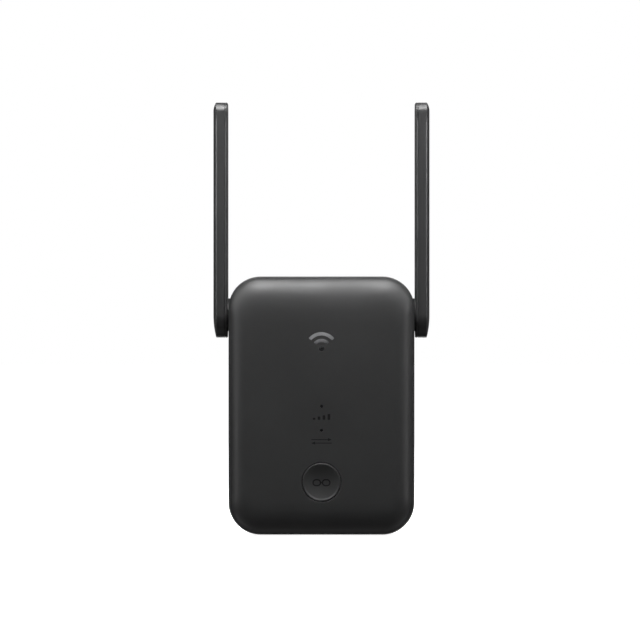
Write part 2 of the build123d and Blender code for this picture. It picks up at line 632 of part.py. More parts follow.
# ---------------------------------------------------------------- network socket
SHIELD_T = 0.3
JACK_Y0, JACK_Y1 = MAIN_REAR, MAIN_REAR + JACK_H
JACK_HIGH = JACK_LOW + JACK_D
SOCKET_HALF_W, SOCKET_DEEP = 5.95, 13.5
SOCKET_Y = (JACK_Y0 + 2.6, JACK_Y0 + 9.4)
CONTACT_X = [(i - 3.5) * 1.02 for i in range(8)]


def jack_housing():
    edge = SHIELD_T + 0.05
    half = JACK_W / 2 - edge
    body = box(-half, half, JACK_Y0 + 0.1, JACK_Y1 - edge, JACK_LOW + 0.3, JACK_HIGH - edge)
    deep = JACK_LOW + SOCKET_DEEP
    body -= box(-SOCKET_HALF_W, SOCKET_HALF_W, *SOCKET_Y, JACK_LOW - 1, deep)
    # the stepped slot takes the cable plug's latch
    body -= box(-3.1, 3.1, SOCKET_Y[1] - 0.5, SOCKET_Y[1] + 1.5, JACK_LOW - 1, deep)
    body -= box(-1.7, 1.7, SOCKET_Y[1] + 1.0, SOCKET_Y[1] + 2.6, JACK_LOW - 1, deep - 4)
    # grooves for the contacts
    for x in CONTACT_X:
        body -= box(x - 0.3, x + 0.3, JACK_Y0 + 1.2, SOCKET_Y[0] + 0.1, JACK_LOW + 1.5, deep)
    return body


def jack_contacts():
    """Eight sprung wires that lean into the socket."""
    wires = []
    low, high = JACK_LOW + 3.0, JACK_LOW + SOCKET_DEEP - 0.6
    for x in CONTACT_X:
        points = [(x, JACK_Y0 + 1.6, low), (x, JACK_Y0 + 1.6, low + 1.6), (x, JACK_Y0 + 4.3, high)]
        path = FilletPolyline(*points, radius=0.7)
        section = Plane(origin=path @ 0, z_dir=path % 0) * Circle(0.22)
        wires.append(sweep(section, path))
    return Compound(children=wires)


def jack_shield():
    """A folded sheet-metal sleeve round the socket, with a window in each side."""
    half = JACK_W / 2
    inner = half - SHIELD_T
    mouth_half = SOCKET_HALF_W + 0.2
    sleeve = box(-half, half, JACK_Y0 + 0.05, JACK_Y1, JACK_LOW, JACK_HIGH)
    sleeve -= box(-inner, inner, JACK_Y0 - 1, JACK_Y1 - SHIELD_T, JACK_LOW + 0.28, JACK_HIGH - SHIELD_T)
    mouth_y = (SOCKET_Y[0] - 0.2, SOCKET_Y[1] + 0.1)
    sleeve -= box(-mouth_half, mouth_half, *mouth_y, JACK_LOW - 1, JACK_LOW + 1)
    sleeve -= box(-3.3, 3.3, SOCKET_Y[1] - 0.5, SOCKET_Y[1] + 2.8, JACK_LOW - 1, JACK_LOW + 1)
    sleeve -= box(-half - 1, half + 1, JACK_Y0 + 4.0, JACK_Y0 + 8.5, JACK_LOW + 6, JACK_LOW + 11)
    return sleeve


# ---------------------------------------------------------------- screws
def screw():
    """A pan-head screw along -Z with its head on z = 0 and a cross recess."""
    head = Pos(0, 0, SCREW_HEAD_T / 2) * Cylinder(SCREW_HEAD_R, SCREW_HEAD_T)
    head = fillet(head.edges().sort_by(Axis.Z)[-1], 0.6)
    shank = Pos(0, 0, -SCREW_LENGTH / 2) * Cylinder(SCREW_R, SCREW_LENGTH)
    shank = chamfer(shank.edges().sort_by(Axis.Z)[0], 0.5)
    cross = Box(2.2, 0.45, 1.0) + Box(0.45, 2.2, 1.0)
    return head + shank - Pos(0, 0, SCREW_HEAD_T) * cross


def board_screws():
    return Compound(children=[Pos(x, MAIN_FRONT, z) * FACE_FRONT * screw() for x, z in MAIN_SCREWS])


def power_board_screws():
    return Compound(children=[Pos(x, POWER_FRONT, z) * FACE_FRONT * screw() for x, z in POWER_SCREWS])


# ---------------------------------------------------------------- antennas, built on the right-hand side
def blade_form(inset, x_inner, tip_corner):
    """The blade's form: flat inside, domed outside down to a crisp rim, with a round lower end."""
    r = BLADE_R - inset
    top = HINGE_Z + BLADE_LENGTH - inset
    x_peak = X_OUTER - inset
    x_edge = x_peak - BLADE_DOME * (r / BLADE_R) ** 2
    half = Line((x_peak, HINGE_Y, HINGE_Z), (x_inner, HINGE_Y, HINGE_Z))
    half += Line((x_inner, HINGE_Y, HINGE_Z), (x_inner, HINGE_Y - r, HINGE_Z))
    half += Line((x_inner, HINGE_Y - r, HINGE_Z), (x_edge, HINGE_Y - r, HINGE_Z))
    half += TangentArc((x_peak, HINGE_Y, HINGE_Z), (x_edge, HINGE_Y - r, HINGE_Z), tangent=(0, -1, 0))
    face = make_face(half)
    full = face + mirror(face, about=Plane.XZ.offset(-HINGE_Y))
    upper = extrude(full, top - HINGE_Z, dir=(0, 0, 1))
    upper = fillet(tip_edges(upper), tip_corner)
    # above the shoulder the dome falls away to the rim
    shoulder, rim, beyond = (x_peak, 0, top - TIP_RUN), (x_edge, 0, top), X_OUTER + 2
    waste = TangentArc(shoulder, rim, tangent=(0, 0, 1))
    waste += Polyline(rim, (x_edge, 0, top + 1), (beyond, 0, top + 1), (beyond, 0, top - TIP_RUN), shoulder)
    upper -= Pos(0, HINGE_Y, 0) * extrude(make_face(waste), BLADE_R + 1, both=True)
    lower = revolve(face, HINGE_AXIS, 180)
    return upper + lower


def tip_edges(upper):
    """The two edges along X at the front and back of the blade's tip."""
    top = upper.faces().sort_by(Axis.Z)[-1]
    return top.edges().filter_by(Axis.X)


def antenna_shell():
    x_seam = X_BLADE + COVER_T + SEAM
    shell = blade_form(0, x_seam, TIP_CORNER)
    ridge = shell.edges().filter_by(GeomType.BSPLINE)
    ridge = ridge.filter_by(lambda e: e.center().X > X_OUTER - BLADE_DOME / 2)
    shell = fillet(ridge, RIDGE_ROUND)
    rim_x = X_OUTER - BLADE_DOME
    rim = shell.edges().filter_by(lambda e: abs(e.center().X - rim_x) < 0.3)
    shell = fillet(rim, RIM_ROUND)
    shell = fillet(shell.edges().filter_by(lambda e: abs(e.center().X - x_seam) < 0.01), SEAM_ROUND)
    return shell - blade_form(BLADE_WALL, x_seam - 0.5, TIP_CORNER - BLADE_WALL)


def flat_blade(inset, x0, x1, tip_corner):
    """A flat plate with the blade's outline."""
    r = BLADE_R - inset
    top = HINGE_Z + BLADE_LENGTH - inset
    plate = box(x0, x1, HINGE_Y - r, HINGE_Y + r, HINGE_Z, top)
    plate = fillet(tip_edges(plate), tip_corner)
    return plate + rod_x(r, x0, x1, HINGE_Y, HINGE_Z)


CLIP_X, CLIP_T, GROOVE_R = X_HUB_END + 1.7, 0.46, 3.5
RAIL_Z = (HINGE_Z + 24.0, HINGE_Z + 76.0)
BOARD_X = (X_BLADE + COVER_T + 1.7, X_BLADE + COVER_T + 2.5)


def antenna_cover():
    """The blade's inner half: a plate with a locating rim, and the hollow hub that turns in the housing."""
    x1 = X_BLADE + COVER_T
    plate = flat_blade(0, X_BLADE, x1, TIP_CORNER)
    plate = chamfer(plate.faces().sort_by(Axis.X)[0].edges(), 0.25)
    cover = plate + (flat_blade(1.3, x1 - 0.2, x1 + 1.0, 2.7) - flat_blade(2.0, x1 - 0.3, x1 + 1.1, 2.0))
    cover += rod_x(PAD_R, X_BLADE - 0.3, X_BLADE + 0.3, HINGE_Y, HINGE_Z)
    hub = rod_x(HUB_R, X_HUB_END, X_BLADE + 0.3, HINGE_Y, HINGE_Z)
    hub = chamfer(hub.edges().sort_by(Axis.X)[0], 0.5)
    groove = rod_x(HUB_R + 1, CLIP_X, CLIP_X + CLIP_T + 0.04, HINGE_Y, HINGE_Z)
    groove -= rod_x(GROOVE_R, CLIP_X - 1, CLIP_X + CLIP_T + 1, HINGE_Y, HINGE_Z)
    cover += hub - groove
    for z in RAIL_Z:
        cover += box(x1 - 0.2, BOARD_X[0], HINGE_Y - 4.5, HINGE_Y + 4.5, z - 1.0, z + 1.0)
    cover -= rod_x(HUB_BORE_R, X_HUB_END - 1, x1 + 1, HINGE_Y, HINGE_Z)
    funnel = Rot(0, 90, 0) * Cone(HUB_BORE_R, HUB_BORE_R + 2.2, COVER_T + 0.2)
    cover -= Pos(x1 - (COVER_T + 0.2) / 2 + 0.01, HINGE_Y, HINGE_Z) * funnel
    for z in RAIL_Z:
        cover -= box(x1, BOARD_X[0] + 1, HINGE_Y - 0.9, HINGE_Y + 0.9, z - 2.0, z + 2.0)
    return cover


def antenna_board():
    x0, x1 = BOARD_X
    low, high = HINGE_Z + 16.0, HINGE_Z + 83.0
    board = box(x0, x1, HINGE_Y - 5.0, HINGE_Y + 5.0, low, high)
    return fillet(board.edges().filter_by(Axis.X), 1.0)


def antenna_cable():
    """The blade's coax: from its board down to the hinge axis, then along the hub."""
    x = BOARD_X[0] - CABLE_R - 0.02
    bend = x - X_BLADE + 1.3
    line = Line((x, HINGE_Y, HINGE_Z + 21.0), (x, HINGE_Y, HINGE_Z + bend))
    arc = TangentArc((x, HINGE_Y, HINGE_Z + bend), (x - bend, HINGE_Y, HINGE_Z), tangent=(0, 0, -1))
    run = Line((x - bend, HINGE_Y, HINGE_Z), (X_CABLE_JOINT, HINGE_Y, HINGE_Z))
    path = line + arc + run
    section = Plane(origin=(x, HINGE_Y, HINGE_Z + 21.0), z_dir=(0, 0, -1)) * Circle(CABLE_R)
    return sweep(section, path)


def retaining_clip():
    clip = rod_x(5.6, CLIP_X + 0.02, CLIP_X + CLIP_T, HINGE_Y, HINGE_Z)
    clip -= rod_x(GROOVE_R + 0.02, CLIP_X - 1, CLIP_X + 2, HINGE_Y, HINGE_Z)
    return clip - box(CLIP_X - 1, CLIP_X + 2, HINGE_Y - 2.7, HINGE_Y + 2.7, HINGE_Z - 9, HINGE_Z)


def friction_washer():
    """A dished spring washer between the housing's seat and the clip; it gives the hinge its drag."""
    flat, rise = 0.35, 0.5
    x_low, x_high = X_SEAT - 0.05 - flat - rise, X_SEAT - 0.05 - flat
    inner, outer = HUB_R + 0.15, 6.3
    points = [(x_low, inner), (x_low + flat, inner), (x_high + flat, outer), (x_high, outer)]
    section = make_face(Polyline(*[(x, HINGE_Y + r, HINGE_Z) for x, r in points], close=True))
    return revolve(section, HINGE_AXIS, 360)


# ---------------------------------------------------------------- cables inside the housing
SOCKET_X, SOCKET_Z, SOCKET_TOP = 29.0, 4.0, MAIN_REAR + 1.9


def coax_sockets():
    """The small round aerial connectors on the main board, each with its clipped-on plug."""
    socket = box(SOCKET_X - 1.5, SOCKET_X + 1.5, MAIN_REAR, MAIN_REAR + 0.5, SOCKET_Z - 1.5, SOCKET_Z + 1.5)
    socket += rod_y(1.4, MAIN_REAR + 0.3, SOCKET_TOP, SOCKET_X, SOCKET_Z)
    socket += box(SOCKET_X - 0.9, SOCKET_X + 0.9, MAIN_REAR + 0.6, SOCKET_TOP, SOCKET_Z, SOCKET_Z + 3.0)
    return Compound(children=list(both_sides(socket)))


def feed_cable():
    end_y = MAIN_REAR + 1.25
    points = [
        (X_CABLE_JOINT, HINGE_Y, HINGE_Z),
        (24.6, HINGE_Y, HINGE_Z),
        (25.2, HINGE_Y - 3.4, 16.6),
        (SOCKET_X, end_y, 11.6),
        (SOCKET_X, end_y, SOCKET_Z + 3.0),
    ]
    return route(points, CABLE_R)


# ---------------------------------------------------------------- the assembly
def all_nodes():
    wps_body, wps_plunger = wps_switch()
    reset_body, reset_plunger = reset_switch()
    core, bobbin = transformer()
    nodes = {
        "front_cover": front_cover(),
        "rear_cover": rear_cover(),
        "wps_button": wps_button(),
        "emblem_insert": emblem_insert(),
        "light_guide": light_guide(),
        "rating_label": rating_label(),
        "plug_body": plug_body(),
        "plug_pins": Compound(children=[lean(side, pin_form()) for side in (1, -1)]),
        "pin_sleeves": Compound(children=[lean(side, sleeve_form()) for side in (1, -1)]),
        "pin_contacts": pin_contacts(),
        "power_board": power_board(),
        "transformer_core": core,
        "transformer_bobbin": bobbin,
        "bulk_capacitors": bulk_capacitors(),
        "output_capacitor": output_capacitor(),
        "input_choke": input_choke(),
        "fuse_resistor": fuse_resistor(),
        "bridge_rectifier": bridge_rectifier(),
        "safety_capacitor": safety_capacitor(),
        "power_controller": power_controller(),
        "optocoupler": optocoupler(),
        "header_body": header_body(),
        "header_pins": header_pins(),
        "insulating_sheet": insulating_sheet(),
        "main_board": main_board(),
        "shield_cans": shield_cans(),
        "processor_chip": processor_chip(),
        "thermal_pad": thermal_pad(),
        "heat_spreader": heat_spreader(),
        "memory_chips": memory_chips(),
        "crystal": crystal(),
        "status_leds": status_leds(),
        "wps_switch_body": wps_body,
        "wps_switch_plunger": wps_plunger,
        "reset_switch_body": reset_body,
        "reset_switch_plunger": reset_plunger,
        "network_transformer": network_transformer(),
        "network_jack_housing": jack_housing(),
        "network_jack_contacts": jack_contacts(),
        "network_jack_shield": jack_shield(),
        "coax_sockets": coax_sockets(),
        "board_screws": board_screws(),
        "power_board_screws": power_board_screws(),
    }
    for name, right in {
        "antenna_shell": antenna_shell(),
        "antenna_cover": antenna_cover(),
        "antenna_board": antenna_board(),
        "antenna_cable": antenna_cable(),
        "retaining_clip": retaining_clip(),
        "friction_washer": friction_washer(),
        "feed_cable": feed_cable(),
    }.items():
        nodes[name + "_right"], nodes[name + "_left"] = both_sides(right)
    return nodes


os.makedirs("parts", exist_ok=True)
for name, shape in all_nodes().items():
    export_step(shape, f"parts/{name}.step")
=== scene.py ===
import math
import random

import bmesh
import bpy
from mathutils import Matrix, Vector


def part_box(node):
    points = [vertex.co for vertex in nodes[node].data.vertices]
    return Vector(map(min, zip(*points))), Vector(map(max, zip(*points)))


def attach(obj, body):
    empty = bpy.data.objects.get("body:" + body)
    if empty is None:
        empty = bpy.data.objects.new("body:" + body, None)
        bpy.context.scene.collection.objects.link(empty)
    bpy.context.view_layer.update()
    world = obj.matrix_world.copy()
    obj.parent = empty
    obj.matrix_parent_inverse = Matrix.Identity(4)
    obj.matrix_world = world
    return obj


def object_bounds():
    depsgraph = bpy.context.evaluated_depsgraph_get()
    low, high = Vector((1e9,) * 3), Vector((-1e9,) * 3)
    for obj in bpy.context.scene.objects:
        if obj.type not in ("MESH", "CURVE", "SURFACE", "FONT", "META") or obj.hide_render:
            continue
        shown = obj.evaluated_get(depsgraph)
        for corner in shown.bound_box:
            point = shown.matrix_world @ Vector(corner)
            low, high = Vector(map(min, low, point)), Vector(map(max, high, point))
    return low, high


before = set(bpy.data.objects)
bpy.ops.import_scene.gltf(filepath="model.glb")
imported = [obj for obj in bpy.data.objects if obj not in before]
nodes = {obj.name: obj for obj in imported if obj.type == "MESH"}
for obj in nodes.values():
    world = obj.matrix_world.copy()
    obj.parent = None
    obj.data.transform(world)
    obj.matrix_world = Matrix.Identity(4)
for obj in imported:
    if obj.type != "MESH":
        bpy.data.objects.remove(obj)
cad_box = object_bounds()

MM = 0.001


def depths(node):
    """A CAD node's front and rear faces along Y."""
    low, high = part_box(node)
    return low.y, high.y


FRONT_Y = depths("front_cover")[0]
BUTTON_FRONT_Y = depths("wps_button")[0]
BUTTON_Z = sum(corner.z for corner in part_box("wps_button")) / 2
LABEL_FACE = depths("rating_label")[1]
BOARD_FRONT_Y, BOARD_REAR_Y = depths("main_board")
POWER_FRONT_Y, POWER_REAR_Y = depths("power_board")
TIP_Z = cad_box[1].z  # the antennas' tips


# ---------------------------------------------------------------- camera
CAMERA_DISTANCE = 1.6  # from the plane that the view's width is measured in
CAMERA_X, CAMERA_Z = -0.0006, 0.0228
VIEW_PLANE_Y, VIEW_WIDTH = -0.040, 0.26036
SENSOR = 36.0


def make_camera():
    """A long lens square on the front, level with the middle of the whole object."""
    camera = bpy.data.objects.new("camera", bpy.data.cameras.new("camera"))
    bpy.context.scene.collection.objects.link(camera)
    camera.location = (CAMERA_X, VIEW_PLANE_Y - CAMERA_DISTANCE, CAMERA_Z)
    camera.rotation_euler = (math.radians(90), 0, 0)
    camera.data.sensor_width = SENSOR
    camera.data.lens = SENSOR * CAMERA_DISTANCE / VIEW_WIDTH
    camera.data.clip_start, camera.data.clip_end = 0.05, 50
    bpy.context.scene.camera = camera


# ---------------------------------------------------------------- studio
# each light as (name, place, aim, size, power, beam in degrees); a pair is also mirrored to the right
WIDE = 180
LONE_LIGHTS = [
    ("top_softbox", (0, -0.30, 0.44), (0, -0.04, 0.16), (0.6, 0.15), 0.60, 40),
    ("over_front", (0, -0.14, 0.50), (0, -0.04, 0.05), (0.7, 0.2), 1.28, 100),
    ("near_strip", (0, -0.14, 0.20), (0, -0.04, 0.08), (0.30, 0.06), 0.066, WIDE),
    ("under", (0, -0.03, -0.6), (0, -0.03, 0), (0.8, 0.4), 0.28, WIDE),
    ("rear_softbox", (0, 1.0, 0.45), (0, -0.03, 0), (0.9, 0.4), 2.5, WIDE),
    ("rear_low", (0, 1.0, -0.30), (0, -0.03, 0), (0.9, 0.4), 4.0, WIDE),
]
PAIRED_LIGHTS = [
    ("front", (-0.6, -0.38, 0.12), (0, -0.04, 0.03), (0.30, 0.5), 0.99, WIDE),
    ("side", (-0.7, -0.06, 0.12), (0, -0.04, 0.03), (0.30, 0.5), 0.10, WIDE),
    ("high", (-0.6, -0.08, 0.35), (0, -0.04, 0.06), (0.30, 0.3), 0.29, 120),
    ("upper", (-0.45, -0.30, 0.38), (0, -0.04, 0.05), (0.3, 0.3), 0.44, WIDE),
    ("key", (-0.5, -0.7, 0.5), (0, -0.04, 0.05), (0.4, 0.3), 0.22, WIDE),
    ("low", (-0.45, -0.40, -0.35), (0, -0.04, -0.02), (0.3, 0.3), 0.053, WIDE),
    ("under", (-0.5, -0.03, -0.5), (0, -0.03, 0), (0.3, 0.3), 0.27, WIDE),
]


def soft_light(name, place, aim, size, power, beam):
    """A rectangular softbox, unseen by the camera, that faces a point."""
    data = bpy.data.lights.new(name, "AREA")
    data.shape = "RECTANGLE"
    data.size, data.size_y = size
    data.energy = power
    data.spread = math.radians(beam)
    light = bpy.data.objects.new(name, data)
    bpy.context.scene.collection.objects.link(light)
    light.location = place
    light.rotation_euler = (Vector(aim) - Vector(place)).to_track_quat("-Z", "Y").to_euler()
    light.visible_camera = False


def make_lights():
    for settings in LONE_LIGHTS:
        soft_light(*settings)
    for name, (x, y, z), *rest in PAIRED_LIGHTS:
        soft_light("left_" + name, (x, y, z), *rest)
        soft_light("right_" + name, (-x, y, z), *rest)


def staged(name, corners, faces, materials):
    """A flat mesh that stands in the studio and isn't part of the object."""
    mesh = bpy.data.meshes.new(name)
    mesh.from_pydata(corners, [], faces)
    for index, material in enumerate(materials):
        mesh.materials.append(material)
        mesh.polygons[index].material_index = index
    thing = bpy.data.objects.new(name, mesh)
    bpy.context.scene.collection.objects.link(thing)
    return thing


def matt_glow(name, tone):
    """A surface without gloss whose white glow is set by its emission strength."""
    graph = Graph(name, 1.0)
    graph.colour(tone)
    graph.shader.inputs["Specular IOR Level"].default_value = 0.0
    graph.shader.inputs["Emission Color"].default_value = rgba((1, 1, 1))
    return graph


def make_emblem_card():
    """A board far in front, which shows in the emblem: bright above a slanting line, black below it."""
    y, half, top, low = -3.24, 0.7, 0.62, -0.8
    left_z, right_z = -0.1085, 0.1005
    corners = [(-half, y, left_z), (half, y, right_z), (half, y, top), (-half, y, top)]
    corners += [(-half, y, low), (half, y, low)]
    bright = matt_glow("emblem_card", (0, 0, 0))
    strength = bright.spread(bright.along(2), 0.30, 0.62, -0.01, 0.03)
    bright.put(bright.shader.inputs["Emission Strength"], strength)
    black = matt_glow("emblem_card_black", (0, 0, 0))
    faces = [(0, 1, 2, 3), (4, 5, 1, 0)]
    card = staged("emblem_card", corners, faces, [bright.material, black.material])
    card.visible_camera = False
    card.visible_diffuse = False


def make_world():
    """A white studio for the camera, and a dim even glow for the object."""
    world = bpy.data.worlds.new("studio")
    bpy.context.scene.world = world
    world.use_nodes = True
    tree = world.node_tree
    tree.nodes.clear()
    path = tree.nodes.new("ShaderNodeLightPath")
    glow = tree.nodes.new("ShaderNodeBackground")
    glow.inputs["Color"].default_value = rgba((1, 1, 1))
    glow.inputs["Strength"].default_value = 0.03
    white = tree.nodes.new("ShaderNodeBackground")
    white.inputs["Color"].default_value = rgba((1, 1, 1))
    white.inputs["Strength"].default_value = 1.0
    mix = tree.nodes.new("ShaderNodeMixShader")
    out = tree.nodes.new("ShaderNodeOutputWorld")
    tree.links.new(path.outputs["Is Camera Ray"], mix.inputs[0])
    tree.links.new(glow.outputs[0], mix.inputs[1])
    tree.links.new(white.outputs[0], mix.inputs[2])
    tree.links.new(mix.outputs[0], out.inputs["Surface"])


def make_floor():
    """A plain pale floor just under the housing, clear when seen from beneath."""
    half, floor_z = 6.0, cad_box[0].z - 0.6 * MM
    graph = Graph("pale_floor", 0.8)
    graph.colour(graph.mix((0.86, 0.86, 0.86), (0.89, 0.89, 0.89), graph.noise(3, 2)))
    graph.shader.inputs["Specular IOR Level"].default_value = 0.0
    graph.shader.inputs["Emission Color"].default_value = rgba((1, 1, 1))
    x, y = graph.along(0), graph.along(1)
    # it glows more from about a metre out, so that it fades into the white studio
    squared = graph.maths("ADD", graph.maths("MULTIPLY", x, x), graph.maths("MULTIPLY", y, y))
    graph.put(graph.shader.inputs["Emission Strength"], graph.spread(squared, 0.92, 1.0, 0.05, 0.6))
    sides = graph.add("ShaderNodeMixShader")
    graph.put(sides.inputs[0], graph.add("ShaderNodeNewGeometry").outputs["Backfacing"])
    graph.put(sides.inputs[1], graph.shader.outputs[0])
    graph.put(sides.inputs[2], graph.add("ShaderNodeBsdfTransparent").outputs[0])
    out = next(node for node in graph.tree.nodes if node.type == "OUTPUT_MATERIAL")
    graph.put(out.inputs["Surface"], sides.outputs[0])
    corners = [(-half, -half, floor_z), (half, -half, floor_z), (half, half, floor_z), (-half, half, floor_z)]
    floor = staged("floor", corners, [(0, 1, 2, 3)], [graph.material])
    floor.visible_diffuse = False
    floor.visible_glossy = False
    floor.visible_transmission = False
    floor.visible_shadow = False


# ---------------------------------------------------------------- materials
def rgba(colour):
    return (*colour, 1.0)


def grey(value, blue=0.0):
    """A grey tone, with a little more blue where it is cool."""
    return (value, value, value + blue)


class Graph:
    """One material, with short calls for the nodes that shade it."""

    def __init__(self, name, roughness, metallic=0.0):
        self.material = bpy.data.materials.new(name)
        self.material.use_nodes = True
        self.tree = self.material.node_tree
        self.shader = next(n for n in self.tree.nodes if n.type == "BSDF_PRINCIPLED")
        self.shader.inputs["Roughness"].default_value = roughness
        self.shader.inputs["Metallic"].default_value = metallic
        self.place = self.add("ShaderNodeTexCoord").outputs["Object"]
        self.normal = None

    def add(self, kind, **settings):
        node = self.tree.nodes.new(kind)
        for key, value in settings.items():
            setattr(node, key, value)
        return node

    def put(self, socket, value):
        """Links a socket, or sets a plain number or colour."""
        if isinstance(value, bpy.types.NodeSocket):
            self.tree.links.new(value, socket)
        elif isinstance(value, tuple):
            socket.default_value = rgba(value)
        else:
            socket.default_value = value

    def stretched(self, stretch):
        mapping = self.add("ShaderNodeMapping")
        mapping.inputs["Scale"].default_value = stretch
        self.put(mapping.inputs["Vector"], self.place)
        return mapping.outputs[0]

    def noise(self, per_metre, detail=2.0, stretch=None):
        noise = self.add("ShaderNodeTexNoise")
        noise.inputs["Scale"].default_value = per_metre
        noise.inputs["Detail"].default_value = detail
        self.put(noise.inputs["Vector"], self.stretched(stretch) if stretch else self.place)
        return noise.outputs[0]

    def cells(self, per_metre, feature="F1", stretch=None):
        cells = self.add("ShaderNodeTexVoronoi", feature=feature)
        cells.inputs["Scale"].default_value = per_metre
        self.put(cells.inputs["Vector"], self.stretched(stretch) if stretch else self.place)
        return cells.outputs[0]

    def bands(self, per_metre, direction, wobble=0.0):
        wave = self.add("ShaderNodeTexWave", bands_direction=direction)
        wave.inputs["Scale"].default_value = per_metre
        wave.inputs["Distortion"].default_value = wobble
        self.put(wave.inputs["Vector"], self.place)
        return wave.outputs["Fac"]

    def spread(self, value, low, high, start=0.3, end=0.7):
        """Maps a value between start and end to low and high."""
        node = self.add("ShaderNodeMapRange")
        self.put(node.inputs["Value"], value)
        node.inputs["From Min"].default_value = start
        node.inputs["From Max"].default_value = end
        node.inputs["To Min"].default_value = low
        node.inputs["To Max"].default_value = high
        return node.outputs[0]

    def maths(self, operation, a, b=0.0):
        node = self.add("ShaderNodeMath", operation=operation)
        self.put(node.inputs[0], a)
        self.put(node.inputs[1], b)
        return node.outputs[0]

    def mix(self, a, b, factor):
        node = self.add("ShaderNodeMix", data_type="RGBA")
        self.put(node.inputs["Factor"], factor)
        self.put([s for s in node.inputs if s.name == "A" and s.type == "RGBA"][0], a)
        self.put([s for s in node.inputs if s.name == "B" and s.type == "RGBA"][0], b)
        return [s for s in node.outputs if s.type == "RGBA"][0]

    def along(self, axis):
        node = self.add("ShaderNodeSeparateXYZ")
        self.put(node.inputs[0], self.place)
        return node.outputs[axis]

    def times(self, a, b):
        return self.maths("MULTIPLY", a, b)

    def distance(self, value, middle):
        """How far a value lies from its middle, either way."""
        return self.maths("ABSOLUTE", self.maths("SUBTRACT", value, middle))

    def base_colour(self):
        """The socket that colours the shader now, to build on."""
        return self.shader.inputs["Base Color"].links[0].from_socket

    def edges(self, radius):
        """1 on sharp edges within radius, fading to 0 on flat faces."""
        bevel = self.add("ShaderNodeBevel", samples=4)
        bevel.inputs["Radius"].default_value = radius
        dot = self.add("ShaderNodeVectorMath", operation="DOT_PRODUCT")
        self.put(dot.inputs[0], bevel.outputs[0])
        self.put(dot.inputs[1], self.add("ShaderNodeNewGeometry").outputs["Normal"])
        return self.spread(dot.outputs["Value"], 0.0, 1.0, 0.995, 0.85)

    def colour(self, value):
        self.put(self.shader.inputs["Base Color"], value)

    def roughness(self, value):
        self.put(self.shader.inputs["Roughness"], value)

    def bump(self, height, depth, strength=1.0):
        node = self.add("ShaderNodeBump")
        node.inputs["Distance"].default_value = depth
        node.inputs["Strength"].default_value = strength
        self.put(node.inputs["Height"], height)
        if self.normal is not None:
            self.put(node.inputs["Normal"], self.normal)
        self.normal = node.outputs[0]
        self.put(self.shader.inputs["Normal"], self.normal)

    def gloss(self, weight, roughness):
        self.shader.inputs["Coat Weight"].default_value = weight
        self.shader.inputs["Coat Roughness"].default_value = roughness


def moulded_plastic(name, dark, light, rough, grain=5200, depth=0.010 * MM):
    """Injection-moulded plastic: faint clouding, a fine spark-eroded grain, and rubbed edges."""
    graph = Graph(name, rough[0])
    fine = graph.noise(grain, 3)
    clouds = graph.maths("ADD", graph.noise(34, 4), graph.times(graph.noise(1500, 2), 0.5))
    tone = graph.mix(dark, light, graph.spread(clouds, 0, 1, 0.5, 1.0))
    rubbed_tone = tuple(channel * 1.9 for channel in light)
    patches = graph.spread(graph.noise(220, 3), 0, 1, 0.42, 0.62)
    rubbed = graph.times(graph.edges(0.25 * MM), patches)
    graph.colour(graph.mix(tone, rubbed_tone, graph.times(rubbed, 0.55)))
    smears = graph.maths("ADD", graph.noise(60, 5, (1.0, 1.0, 0.35)), graph.times(fine, 0.3))
    graph.roughness(graph.spread(smears, *rough, 0.45, 0.85))
    graph.bump(fine, depth, 0.5)
    graph.bump(graph.noise(260, 2), 0.004 * MM, 0.5)
    return graph


def metal(name, tone_a, tone_b, rough, stretch=(1, 1, 1), grain=2600, depth=0.004 * MM, blotch=90):
    """Plated or rolled metal: blotches of tone and roughness, and fine scratches along one way."""
    graph = Graph(name, rough[0], 1.0)
    patch = graph.noise(blotch, 4)
    graph.colour(graph.mix(tone_a, tone_b, graph.spread(patch, 0, 1)))
    scratch = graph.noise(grain, 3, stretch)
    graph.roughness(graph.spread(graph.maths("ADD", patch, scratch), *rough, 0.7, 1.3))
    graph.bump(scratch, depth, 0.5)
    return graph


def printed_board(name, mask_dark, mask_light, copper, pad, depth=0.02 * MM):
    """A circuit board: solder mask over darker laminate, with tracks, ground areas and vias."""
    graph = Graph(name, 0.35)
    field = graph.mix(mask_dark, mask_light, graph.spread(graph.noise(45, 4), 0, 1))
    squares = graph.cells(420, "DISTANCE_TO_EDGE")
    track = graph.spread(squares, 1.0, 0.0, 0.05, 0.09)
    runs = graph.times(track, graph.spread(graph.noise(80, 1), 0, 1, 0.48, 0.52))
    field = graph.mix(field, copper, runs)
    via = graph.spread(graph.cells(560), 1.0, 0.0, 0.10, 0.14)
    via = graph.times(via, graph.spread(graph.noise(130, 1), 0, 1, 0.52, 0.56))
    graph.colour(graph.mix(field, pad, via))
    graph.roughness(graph.spread(graph.noise(700, 2), 0.26, 0.42))
    graph.bump(graph.maths("ADD", runs, via), depth, 0.6)
    graph.bump(graph.noise(2600, 2), 0.006 * MM, 0.4)
    return graph.material


def laminate(name):
    """Bare glass-fibre laminate with its woven cloth showing, and copper under a clear lacquer."""
    graph = Graph(name, 0.45)
    weave = graph.maths("ADD", graph.bands(950, "X", 0.6), graph.bands(950, "Z", 0.6))
    tone = graph.mix((0.34, 0.25, 0.10), (0.50, 0.40, 0.19), graph.spread(weave, 0, 1, 0.4, 1.6))
    areas = graph.spread(graph.noise(70, 1), 0, 1, 0.54, 0.56)
    graph.colour(graph.mix(tone, (0.24, 0.20, 0.09), areas))
    graph.roughness(graph.spread(graph.noise(900, 3), 0.38, 0.55))
    graph.bump(weave, 0.012 * MM, 0.5)
    graph.bump(areas, 0.03 * MM, 0.6)
    return graph.material


